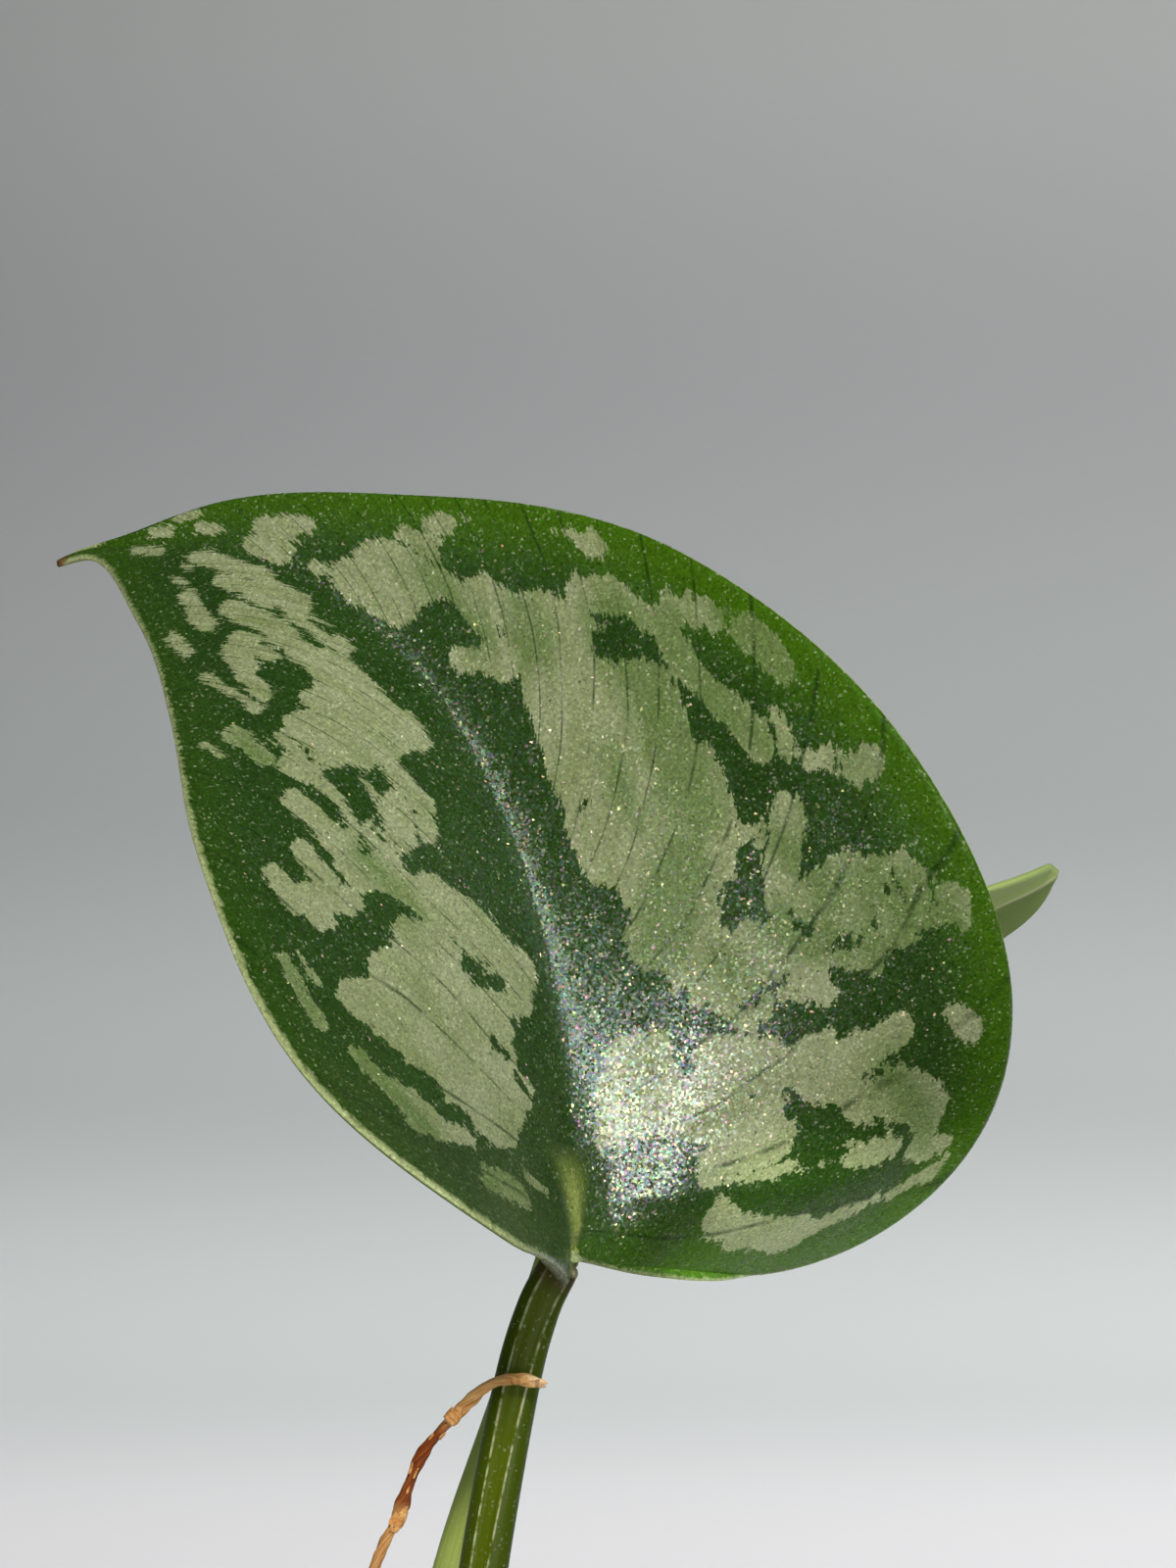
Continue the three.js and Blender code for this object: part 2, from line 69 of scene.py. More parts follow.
def maths(tree, operation, *values):
    return add(tree, "ShaderNodeMath", dict(enumerate(values)), operation=operation).outputs[0]


def vectorMaths(tree, operation, *values):
    return add(tree, "ShaderNodeVectorMath", dict(enumerate(values)), operation=operation).outputs[0]


def scaled(tree, vector, factor):
    return add(tree, "ShaderNodeVectorMath", {0: vector, "Scale": factor}, operation="SCALE").outputs[0]


def remap(tree, value, span=(0, 1), result=(0, 1), way="LINEAR"):
    # carries a span of values over to a span of results, and stays at its ends outside it
    return add(tree, "ShaderNodeMapRange", {
        "Value": value, "From Min": span[0], "From Max": span[1], "To Min": result[0], "To Max": result[1]},
        interpolation_type=way).outputs[0]


def blend(tree, share, low, high):
    # mixes two colours: the first at a share of 0, the second at 1
    return add(tree, "ShaderNodeMix", {0: share, 6: low, 7: high}, data_type="RGBA").outputs[2]


def noise(tree, vector, scale, detail=2, roughness=0.5):
    return add(tree, "ShaderNodeTexNoise", {
        "Vector": vector, "Scale": scale, "Detail": detail, "Roughness": roughness}).outputs[0]


def attribute(tree, name, output="Fac"):
    return add(tree, "ShaderNodeAttribute", attribute_name=name).outputs[output]


def bumped(tree, height, strength, distance):
    return add(tree, "ShaderNodeBump", {
        "Height": height, "Strength": strength, "Distance": distance}).outputs[0]


def newMaterial(name):
    material = bpy.data.materials.new(name)
    material.use_nodes = True
    material.node_tree.nodes.clear()
    return material


def storeAttributes(mesh, attributes):
    # one number or one vector for each point
    for title, values in attributes.items():
        kind, key = ("FLOAT_VECTOR", "vector") if np.ndim(values) == 2 else ("FLOAT", "value")
        data = mesh.attributes.new(title, kind, "POINT").data
        data.foreach_set(key, np.asarray(values, np.float32).ravel())


def ringQuads(rows, count):
    # the faces between neighbouring rings of points, each ring closed on itself
    i, j = np.meshgrid(np.arange(rows), np.arange(count), indexing="ij")
    k = (j + 1) % count
    corners = [i * count + j, (i + 1) * count + j, (i + 1) * count + k, i * count + k]
    return np.stack(corners, -1).reshape(-1, 4)


def meshObject(name, points, faces, materials, attributes=None, faceSlots=None):
    # points in mm; faces is a list of arrays, one for each number of corners
    mesh = bpy.data.meshes.new(name)
    corners = np.concatenate([np.asarray(f, np.int32).ravel() for f in faces])
    sizes = np.concatenate([np.full(len(f), np.asarray(f).shape[1], np.int32) for f in faces])
    starts = np.concatenate([[0], np.cumsum(sizes)[:-1]]).astype(np.int32)
    mesh.vertices.add(len(points))
    mesh.vertices.foreach_set("co", (np.asarray(points, float) * mm).ravel())
    mesh.loops.add(len(corners))
    mesh.loops.foreach_set("vertex_index", corners)
    mesh.polygons.add(len(sizes))
    mesh.polygons.foreach_set("loop_start", starts)
    for material in materials:
        mesh.materials.append(material)
    if faceSlots is not None:
        mesh.polygons.foreach_set("material_index", np.asarray(faceSlots, np.int32))
    storeAttributes(mesh, attributes or {})
    mesh.update(calc_edges=True)
    mesh.validate()
    mesh.polygons.foreach_set("use_smooth", np.ones(len(mesh.polygons), bool))
    piece = bpy.data.objects.new(name, mesh)
    bpy.context.scene.collection.objects.link(piece)
    return piece


def place(piece, node):
    # the whole plant is one body, so every piece rides on it
    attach(piece, "root")
    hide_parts(node)
    return piece


def newTree(name, sockets):
    # a Geometry Nodes tree with a geometry input and output and these named inputs
    tree = bpy.data.node_groups.new(name, "GeometryNodeTree")
    tree.interface.new_socket("Geometry", in_out="INPUT", socket_type="NodeSocketGeometry")
    for title, kind in sockets.items():
        tree.interface.new_socket(title, in_out="INPUT", socket_type="NodeSocket" + kind)
    tree.interface.new_socket("Geometry", in_out="OUTPUT", socket_type="NodeSocketGeometry")
    return tree


def grown(tree, holder, values):
    # runs the tree on the holder's mesh, and gives the result as a plain mesh
    modifier = holder.modifiers.new("grow", "NODES")
    modifier.node_group = tree
    for socket in tree.interface.items_tree:
        if socket.in_out == "INPUT" and socket.name in values:
            modifier[socket.identifier] = values[socket.name]
    depsgraph = bpy.context.evaluated_depsgraph_get()
    mesh = bpy.data.meshes.new_from_object(
        holder.evaluated_get(depsgraph), preserve_all_data_layers=True, depsgraph=depsgraph)
    holder.modifiers.clear()
    return mesh


def plainObject(name, mesh):
    piece = bpy.data.objects.new(name, mesh)
    bpy.context.scene.collection.objects.link(piece)
    return piece


# Camera, stage and light

view = {
    "place": (10, -310, 205),
    "lens": 87.3,
    "sensor": 36,
    "clip": (0.02, 30),  # in metres
}


def makeCamera():
    data = bpy.data.cameras.new("photoCamera")
    data.lens = view["lens"]
    data.sensor_width = view["sensor"]
    data.clip_start, data.clip_end = view["clip"]
    camera = bpy.data.objects.new("photoCamera", data)
    camera.location = [c * mm for c in view["place"]]
    camera.rotation_euler = (math.radians(90), 0, 0)  # level, along +Y
    bpy.context.scene.collection.objects.link(camera)
    bpy.context.scene.camera = camera


stage = {
    # height on the sweep in mm, and the paint there: pale on the floor, greyer up the wall, painted shading
    # for the light falling off
    "greys": [
        (4, "#f1eff1"), (30, "#cbcfce"), (100, "#a8abaa"),
        (205, "#969997"), (390, "#929493"), (640, "#a3a4a2")],
    # painted light: the backdrop is painted lighter to the right, where more light falls
    "sideways": 0.5,  # lighter to the right by this share a metre
    "paintedSideLightReach": 0.6,  # and no further than this many metres to each side
    "front": -3600,  # the floor's near edge, behind the camera
    "flat": 500,  # where the floor starts to curve up behind the plant
    "curve": 1500,
    "curveSteps": 32,
    "wall": 2400,
    "halfWidth": 3600,
}


def makeStage():
    material = newMaterial("paintedBackdropBoard")  # matte emulsion paint, evenly rolled, no visible grain
    tree = material.node_tree
    spot = add(tree, "ShaderNodeTexCoord")
    parts = add(tree, "ShaderNodeSeparateXYZ", {"Vector": spot.outputs["Object"]})
    top = stage["greys"][-1][0]
    height = add(tree, "ShaderNodeMath", {0: parts.outputs["Z"], 1: top * mm}, operation="DIVIDE")
    ramp = add(tree, "ShaderNodeValToRGB", {"Fac": height})
    ramp.color_ramp.interpolation = "EASE"
    while len(ramp.color_ramp.elements) < len(stage["greys"]):
        ramp.color_ramp.elements.new(0.5)
    for stop, (z, grey) in zip(ramp.color_ramp.elements, stage["greys"]):
        stop.position = z / top
        stop.color = linear(grey)
    # painted light: the paint grows lighter towards the right
    reach, lighter = stage["paintedSideLightReach"], stage["paintedSideLightReach"] * stage["sideways"]
    sideLightTilt = add(tree, "ShaderNodeMapRange", {
        "Value": parts.outputs["X"], "From Min": -reach, "From Max": reach, "To Min": 1 - lighter,
        "To Max": 1 + lighter})
    colour = add(tree, "ShaderNodeVectorMath", {0: ramp.outputs["Color"], "Scale": sideLightTilt}, operation="SCALE")
    shader = add(tree, "ShaderNodeBsdfPrincipled", {
        "Base Color": colour.outputs[0], "Roughness": 0.95, "Specular IOR Level": 0.1})
    add(tree, "ShaderNodeOutputMaterial", {"Surface": shader})
    flat, curve, half, steps = stage["flat"], stage["curve"], stage["halfWidth"], stage["curveSteps"]
    line = [(stage["front"], 0), (flat, 0)]
    for i in range(1, steps + 1):
        turn = math.radians(90) * i / steps
        line.append((flat + curve * math.sin(turn), curve * (1 - math.cos(turn))))
    line.append((flat + curve, stage["wall"]))
    points = [(x, y, z) for y, z in line for x in (-half, half)]
    faces = [(2 * i, 2 * i + 1, 2 * i + 3, 2 * i + 2) for i in range(len(line) - 1)]
    meshObject("floorAndBackdrop", points, [faces], [material])


lights = {
    # azimuth to the right of the camera, elevation, distance from the leaf, width, height, watts, colour
    "keySoftbox": (4, 35, 900, 150, 150, 6.6, "#fff4e4"),
    "sideSoftbox": (70, 25, 1300, 700, 700, 3.2, "#f8faff"),
    "fillSoftbox": (-60, 30, 1400, 900, 900, 0.8, "#eaf2ff"),
    # only for the gloss of the leaves
    "glossLow": (31, -11, 900, 460, 380, 70, "#fffcf6"),
    "glossHigh": (20, 18, 900, 300, 240, 10, "#eef4ff"),
}
backdropLight = {
    "place": (0, 600, 900),
    "aim": (0, 1900, 300),
    "size": (1800, 500),
    "watts": 14,
    "colour": "#fbfdff",
}
lightsAim = (0, 0, 190)
air = {
    "colour": "#dfe6ea",
    "strength": 0.14,
}


def makeLamp(name, spot, aim, width, height, watts, colour):
    data = bpy.data.lights.new(name, "AREA")
    data.shape = "RECTANGLE"
    data.size, data.size_y = width * mm, height * mm
    data.energy = watts
    data.color = linear(colour)[:3]
    lamp = bpy.data.objects.new(name, data)
    lamp.location = spot * mm
    lamp.rotation_euler = Vector(aim - spot).to_track_quat("-Z", "Y").to_euler()
    lamp.visible_camera = False
    lamp.visible_diffuse = not name.startswith("gloss")
    bpy.context.scene.collection.objects.link(lamp)


def makeLights():
    aim = np.array(lightsAim, float)
    for name, (azimuth, elevation, distance, width, height, watts, colour) in lights.items():
        a, e = math.radians(azimuth), math.radians(elevation)
        back = np.array([math.sin(a) * math.cos(e), -math.cos(a) * math.cos(e), math.sin(e)])
        makeLamp(name, aim + back * distance, aim, width, height, watts, colour)
    b = backdropLight
    spot, target = (np.array(b[key], float) for key in ("place", "aim"))
    makeLamp("backdropSoftbox", spot, target, *b["size"], b["watts"], b["colour"])
    world = bpy.data.worlds.new("studioAir")
    world.use_nodes = True
    world.node_tree.nodes.clear()
    glow = add(world.node_tree, "ShaderNodeBackground", {
        "Color": linear(air["colour"]), "Strength": air["strength"]})
    add(world.node_tree, "ShaderNodeOutputWorld", {"Surface": glow})
    bpy.context.scene.world = world
    bpy.context.scene.view_settings.view_transform = "Standard"


makeCamera()
makeStage()
makeLights()
print("camera, stage and light are up")


# Curves

def unit(v):
    return v / np.linalg.norm(v, axis=-1, keepdims=True)


def squareTo(direction, axis):
    # the part of a direction that is square to another
    return unit(direction - (direction * axis).sum(-1, keepdims=True) * axis)


def catmullRom(points, t):
    points = np.asarray(points, float)
    points = np.vstack([2 * points[0] - points[1], points, 2 * points[-1] - points[-2]])
    spot = np.clip(t, 0, 1) * (len(points) - 3)
    first = np.minimum(spot.astype(int), len(points) - 4)
    w = (spot - first)[..., None]
    a, b, c, d = (points[first + i] for i in range(4))
    square, cube = 2 * a - 5 * b + 4 * c - d, 3 * b - a - 3 * c + d
    return 0.5 * (2 * b + (c - a) * w + square * w ** 2 + cube * w ** 3)


def evenly(points, shares):
    # points of a smooth curve at equal shares of its length, their directions and its length
    fine = catmullRom(points, np.linspace(0, 1, 1200))
    reach = np.concatenate([[0], np.cumsum(np.linalg.norm(np.diff(fine, axis=0), axis=1))])
    spots = np.clip(shares, 0, 1) * reach[-1]
    found = np.stack([np.interp(spots, reach, fine[:, i]) for i in range(3)], -1)
    slope = np.gradient(fine, axis=0)
    ways = unit(np.stack([np.interp(spots, reach, slope[:, i]) for i in range(3)], -1))
    return found, ways, reach[-1]


def through(values, share):
    # the value at a share of the way through three values given at 0, a half and 1
    s = np.clip(share, 0, 1)
    return values[0] * 2 * (s - 0.5) * (s - 1) + values[1] * 4 * s * (1 - s) + values[2] * 2 * s * (s - 0.5)


# Leaves. Outlines are shares of the midrib's length: distance from the midrib, then place along it.

blade = {
    "grid": (96, 40),  # rows and columns of a half, where the leaf gives none of its own
    "rowCrowding": 0.15,
    "columnCrowding": 0.45,  # closer columns at the midrib and the margin
    "baseCrowding": 1.8,
    "thickness": 0.7,
    "edgeRound": 0.55,
    "edgeLeast": 0.2,  # of the thickness, at the very rim
    "ribDepth": 1.1,
    "ribWidth": 0.8,
    "ribTaper": 0.8,
    "ribForward": 0.2,
    "valley": {"left": 0.9, "right": 2.3},  # how wide the trough over the midrib is on each side
    "troughDepth": 1.0,
    "troughRise": 2.5,
    "troughLeast": 0.15,
    "seamReach": 6,
    "veinCurve": {"wide": 3.1, "narrow": 4.8},  # how fast the side veins turn towards the tip
    "veinSpacing": 3.4,
    "veinDepth": 0.05,
    "veinWidth": 0.35,
    "quilting": 0.10,
    "quiltLength": 9,
    "calmEdge": 3,  # veins and quilting fade out this near the margin and the midrib
    "calmRib": 2.5,
    "veinGrain": (1.3, 0.45, 0.15, 0.2),  # pattern scale across the veins, outwards, tipwards and sideways
}
# the swollen foot of the midrib on the upper face
ribFoot = {
    "leanLength": 8.5,
    "leanMost": 1.3,
    "halfWidth": 0.5,
    "widening": 0.3,
    "longest": 12,
    "height": 0.95,
    "rise": (0.6, 3),
    "fall": (6, 10.5),
    "paleFall": (5, 9.5),
    "paleWidth": 0.9,
}
dripHook = {
    "length": 3.4,
    "droop": 0.5,
    "brown": (1.6, 0.3),  # from and to, before the end
}

wideHalf = [
    (0.012, 0), (0.122, -0.01), (0.264, -0.006), (0.399, 0.034), (0.426, 0.187), (0.375, 0.362),
    (0.269, 0.522), (0.123, 0.689), (0.05, 0.849), (0.01, 0.938), (0.004, 1)]
narrowHalf = [
    (0.012, 0), (0.108, -0.005), (0.258, 0.006), (0.347, 0.068), (0.378, 0.18), (0.37, 0.347),
    (0.32, 0.541), (0.217, 0.737), (0.104, 0.869), (0.02, 0.946), (0.004, 1)]
lobedHalf = [
    (0.012, -0.004), (0.03, -0.019), (0.07, -0.016), (0.16, -0.006), (0.27, 0.008), (0.345, 0.066),
    (0.377, 0.17), (0.37, 0.33), (0.325, 0.52), (0.225, 0.72), (0.11, 0.862), (0.022, 0.945), (0.004, 1)]
youngHalf = [
    (0.014, 0), (0.07, 0.002), (0.13, 0.035), (0.165, 0.13), (0.17, 0.32), (0.155, 0.52),
    (0.135, 0.7), (0.115, 0.84), (0.085, 0.93), (0.045, 0.98), (0.006, 1)]

crownLeaf = {
    "name": "crown_leaf_blade",
    "grid": (200, 84),
    "base": (8.3, 0, 166.2),
    "path": [(1.5, 5.5, 36.5), (-13.5, 10, 63.5), (-44.5, 22, 58.5)],
    "footLean": -2.0,
    "facing": [(0.28, -0.28, -0.92), (0.38, -0.93, -0.01), (0.17, -0.79, 0.59)],
    "left": {"outline": lobedHalf, "fold": (20, 26, 5), "curl": (-0.41, -0.08, -0.47), "veins": "narrow"},
    "right": {"outline": wideHalf, "fold": (18, 29, 5), "curl": (-0.3, 0.09, -0.48), "veins": "wide"},
}
rearLeaf = {
    "name": "rear_leaf_blade",
    "grid": (110, 30),
    "base": (12.3, 17, 180),
    "path": [(9, 4.5, 8), (34.2, 14.8, 11.6), (40.2, 17, 17.2)],
    "facing": [(-0.5, 0.6, 0.6), (-0.1, 0.6, 0.8), (-0.3, 0.6, 0.74)],
    "left": {"outline": youngHalf, "fold": (14, 0, -8), "curl": (-0.2, -0.2, -0.2), "veins": "narrow"},
    "right": {"outline": youngHalf, "fold": (14, -6, -20), "curl": (-0.2, -0.2, -0.2), "veins": "narrow"},
}


def readyMidrib(leaf):
    # the cubic curve of the midrib, measured so that a share of its length finds its place
    base = np.array(leaf["base"], float)
    a, b, c, d = [base + np.array(p, float) for p in [(0, 0, 0), *leaf["path"]]]
    t = np.linspace(0, 1, 801)[:, None]
    line = (1 - t) ** 3 * a + 3 * t * (1 - t) ** 2 * b + 3 * t ** 2 * (1 - t) * c + t ** 3 * d
    slope = 3 * (1 - t) ** 2 * (b - a) + 6 * t * (1 - t) * (c - b) + 3 * t ** 2 * (d - c)
    reach = np.concatenate([[0], np.cumsum(np.linalg.norm(np.diff(line, axis=0), axis=1))])
    length = reach[-1]

    def at(share):
        s = np.clip(share, 0, 1)
        point = np.stack([np.interp(s * length, reach, line[:, i]) for i in range(3)], -1)
        tangent = unit(np.stack([np.interp(s * length, reach, slope[:, i]) for i in range(3)], -1))
        point = point + tangent * ((share - s) * length)[..., None]
        first, middle, last = (np.array(v, float) for v in leaf["facing"])
        w = s[..., None]
        normal = squareTo(first * (1 - w) ** 2 + middle * 2 * w * (1 - w) + last * w ** 2, tangent)
        return point, normal, np.cross(tangent, normal)

    return at, length


def gridNormals(grid):
    alongRows = np.gradient(grid, axis=1)
    acrossRows = np.gradient(grid, axis=0)
    return unit(np.cross(alongRows, acrossRows))


def outlineDistance(places, outlines):
    # distance of flat places to the blade's outline
    line = np.vstack([outlines[0][::-1], outlines[1]])
    best = np.full(len(places), 1e9)
    for a, b in zip(line[:-1], line[1:]):
        way = b - a
        t = np.clip(((places - a) @ way) / max(way @ way, 1e-12), 0, 1)
        best = np.minimum(best, np.linalg.norm(places - a - t[:, None] * way, axis=1))
    return best


def dabField(x, y, silver, green):
    # how far inside (above 0) or outside the silver markings each place lies, in mm. The markings are laid
    # down as dabs: capsules of silver, with dabs of green over them.
    field = np.full(x.shape, -9.0)
    for dabs, sign in ((silver, 1), (green, -1)):
        for x0, y0, x1, y1, radius in dabs:
            wx, wy = x1 - x0, y1 - y0
            t = np.clip(((x - x0) * wx + (y - y0) * wy) / max(wx * wx + wy * wy, 1e-9), 0, 1)
            inside = radius - np.hypot(x - x0 - t * wx, y - y0 - t * wy)
            field = np.maximum(field, inside) if sign > 0 else np.minimum(field, -inside)
    return field


def smoothNoise(x, y, seed, wavelength):
    # a gentle sum of waves, from -1 to 1 or so
    chance = random.Random(seed)
    total = np.zeros_like(x)
    for _ in range(7):
        turn = chance.uniform(0, math.tau)
        stretch = wavelength * chance.uniform(0.7, 1.6)
        ahead = (x * math.cos(turn) + y * math.sin(turn)) * math.tau / stretch
        total += np.sin(ahead + chance.uniform(0, math.tau))
    return total / 3.5


def ease(x, a, b):
    t = np.clip((x - a) / (b - a), 0, 1)
    return t * t * (3 - 2 * t)


def footShape(leaf, y):
    # where the foot of the midrib runs, and its half width
    centre = leaf.get("footLean", 0) * np.clip(y / ribFoot["leanLength"], 0, ribFoot["leanMost"])
    return centre, ribFoot["halfWidth"] + ribFoot["widening"] * np.clip(y, 0, ribFoot["longest"])


def crowded(count, share):
    # steps from 0 to 1 that are closer at both ends
    even = np.linspace(0, 1, count + 1)
    return (1 - share) * even + share * (0.5 - 0.5 * np.cos(math.pi * even))


def makeBlade(leaf, materials, markings, relief=None, tip=None):
    # a closed blade: two halves bent out from the midrib, an upper and an under face, and a round rim
    at, length = readyMidrib(leaf)
    rows, columns = leaf.get("grid", blade["grid"])
    step = crowded(rows, blade["rowCrowding"])
    u = crowded(columns, blade["columnCrowding"])
    halves, flats, veins, outlines = [], [], [], []
    root = step ** blade["baseCrowding"]
    trough = np.clip(np.sin(math.pi * root) * blade["troughRise"], blade["troughLeast"], 1)
    trough = blade["troughDepth"] * trough[:, None]
    for key, side in (("left", -1), ("right", 1)):
        half = leaf[key]
        margin = catmullRom(half["outline"], step)
        outlines.append(catmullRom(half["outline"], np.linspace(0, 1, 161)) * length * np.array([side, 1]))
        bend = root + blade["ribForward"] * (margin[:, 1] - root)
        share = ((1 - u) ** 2 * root[:, None] + 2 * u * (1 - u) * bend[:, None] + u ** 2 * margin[:, 1:2])
        distance = u * margin[:, 0:1] * length
        point, normal, across = at(share)
        fold = np.radians(through(half["fold"], share))
        curl = np.radians(through(half["curl"], share))
        curl = np.where(np.abs(curl) < 1e-6, 1e-6, curl)
        outward = (np.sin(fold + curl * distance) - np.sin(fold)) / curl
        rise = (np.cos(fold) - np.cos(fold + curl * distance)) / curl
        valley = trough * blade["valley"][key]
        steep = np.sin(fold)
        rise = rise + steep * valley * np.exp(-distance / valley)
        # both sides meet at the same height
        rise = rise + (trough * 0.5 - steep * valley) * np.exp(-distance / blade["seamReach"])
        if relief:
            rise = rise + relief(side * distance, share * length)
        halves.append(point + across * (side * outward)[..., None] + normal * rise[..., None])
        flats.append(np.stack([side * distance, share * length], -1))
        turn = blade["veinCurve"][half["veins"]] / length
        veins.append(share * length * np.exp(-turn * distance))
    join = lambda left, right: np.concatenate([left[:, :0:-1], right], axis=1)
    grid, flat, vein = join(*halves), join(*flats), join(*veins)
    x, y = flat[..., 0], flat[..., 1]
    normals = gridNormals(grid)
    edge = outlineDistance(flat.reshape(-1, 2), outlines).reshape(x.shape)

    # low relief: side veins sunk a little, the blade gently quilted between them
    calm = np.clip(edge / blade["calmEdge"], 0, 1) * np.clip(np.abs(x) / blade["calmRib"], 0, 1)
    gap = blade["veinSpacing"]
    fromVein = np.abs(vein / gap - np.round(vein / gap)) * gap
    low = -blade["veinDepth"] * np.exp(-(fromVein / blade["veinWidth"]) ** 2)
    low = (low + blade["quilting"] * smoothNoise(x, y * 0.6, leaf["name"], blade["quiltLength"])) * calm

    roundness = np.sqrt(1 - (1 - np.clip(edge / blade["edgeRound"], 0, 1)) ** 2)
    half = blade["thickness"] / 2 * np.maximum(roundness, blade["edgeLeast"])
    ribHeight = blade["ribDepth"] * (1 - y / length).clip(0, 1) ** blade["ribTaper"]
    ribHeight = ribHeight * np.exp(-(x / blade["ribWidth"]) ** 2)
    upper = grid + normals * (low + half)[..., None]
    under = grid - normals * (half - low + ribHeight)[..., None]
    if tip:
        upper, under = tip(upper, y, length), tip(under, y, length)
    count = x.size
    index = np.arange(count).reshape(x.shape)
    a, b = index[:-1, :-1].ravel(), index[:-1, 1:].ravel()
    c, d = index[1:, 1:].ravel(), index[1:, :-1].ravel()
    top = np.stack([a, b, c, d], -1)
    bottom = np.stack([a, d, c, b], -1) + count
    loop = np.concatenate([index[0, :], index[1:, -1], index[-1, -2::-1], index[-2:0:-1, 0]])
    after = np.roll(loop, -1)
    rim = np.stack([loop, loop + count, after + count, after], -1)
    faces = np.concatenate([top, bottom, rim])
    slots = np.concatenate([np.zeros(len(top)), np.ones(len(bottom)), np.zeros(len(rim))])
    marks = markings(leaf, length)
    spread = marks.get("spread", strewn["spread"])
    silver = dabField(x, y, marks["silver"], marks["green"]) + np.where(x > 0, *spread)
    dim = dabField(x, y, marks.get("dim", []), [])
    # the pale foot of the midrib: its own paler green, with a painted highlight where the ridge catches the
    # light
    centre, width = footShape(leaf, y)
    foot = np.exp(-np.abs((x - centre) / (width * ribFoot["paleWidth"])) ** 3)
    foot = foot * (1 - ease(y, *ribFoot["paleFall"]))
    across, outwards, tipwards, sideways = blade["veinGrain"]
    brownFrom, brownTo = dripHook["brown"]
    leaf["rim"] = grid[:, 0]
    double = lambda values: np.concatenate([values.reshape(count, -1)] * 2).squeeze()
    attributes = {
        "leafPlace": double(np.stack([x, y, np.zeros_like(x)], -1)),
        "veinPlace": double(np.stack([
            vein * across, np.abs(x) * outwards + y * tipwards, x * sideways], -1)),
        "silver": double(silver),
        "edgeDistance": double(edge),
        "dim": double(dim),
        "foot": double(foot),
        "dryTip": double(ease(y, length - brownFrom, length - brownTo)),
    }
    points = np.concatenate([upper.reshape(-1, 3), under.reshape(-1, 3)])
    return meshObject(leaf["name"] + "_satin", points, [faces], materials, attributes, slots)


# Satin leaf skin: a waxy upper face whose domed cells glitter, with air under them in the silver patches.
# Deep green, sage silver with a toothed outline, fine dark veins, a pale translucent rim widened into a
# painted highlight on the left and lower margins, and glitter partly painted into the cells' colour.
satinSkin = {
    "deepGreen": "#1a3609",
    "midGreen": "#2a4c12",
    "edgeGreen": ("#2c4c0e", "#416c0b"),  # left and right half
    "silver": "#939f7c",
    "silverShade": "#7b8c5c",
    "dimSilver": "#58753a",
    # pale colour painted on rare cells as glints
    "speck": "#e2e9cf",
    # pale rim colour, also used for the painted highlight along the left and lower margins
    "rim": "#b4c48e",
    # pale foot of the midrib, partly a painted highlight on its lit ridge
    "foot": "#93a653",
    "dry": "#6b4a2c",
    "cell": 0.19,  # skin cells are about 0.05 mm, drawn as coarse as they show in the photograph's glitter
    "cellTilt": (0.21, 0.95),  # of most cells, and more for the few that stand askew
    "roughness": 0.32,
    "askewRarity": 7.0,
    "paintedGlintRarity": 32.0,
    "paintedGlintShare": 0.25,
    "colouredGlint": 0.65,
    "unevenGloss": 0.12,
    "edgeNoise": 1.3,
    "edgeTeeth": 1.6,
    "edgeBlend": (0.17, 0.35),
    "veinGap": 1.9,
    "veinSway": 2.2,
    "veinLine": 0.085,
    "rimWidth": 0.6,
    # painted light: how much brighter the thin lower lobe is painted, for light shining through it
    "paintedThroughLight": 1.7,
    "throughLightBelow": (4, 13),
    "throughLightOuter": (8, 19),
    "marginGlint": 0.2,
}


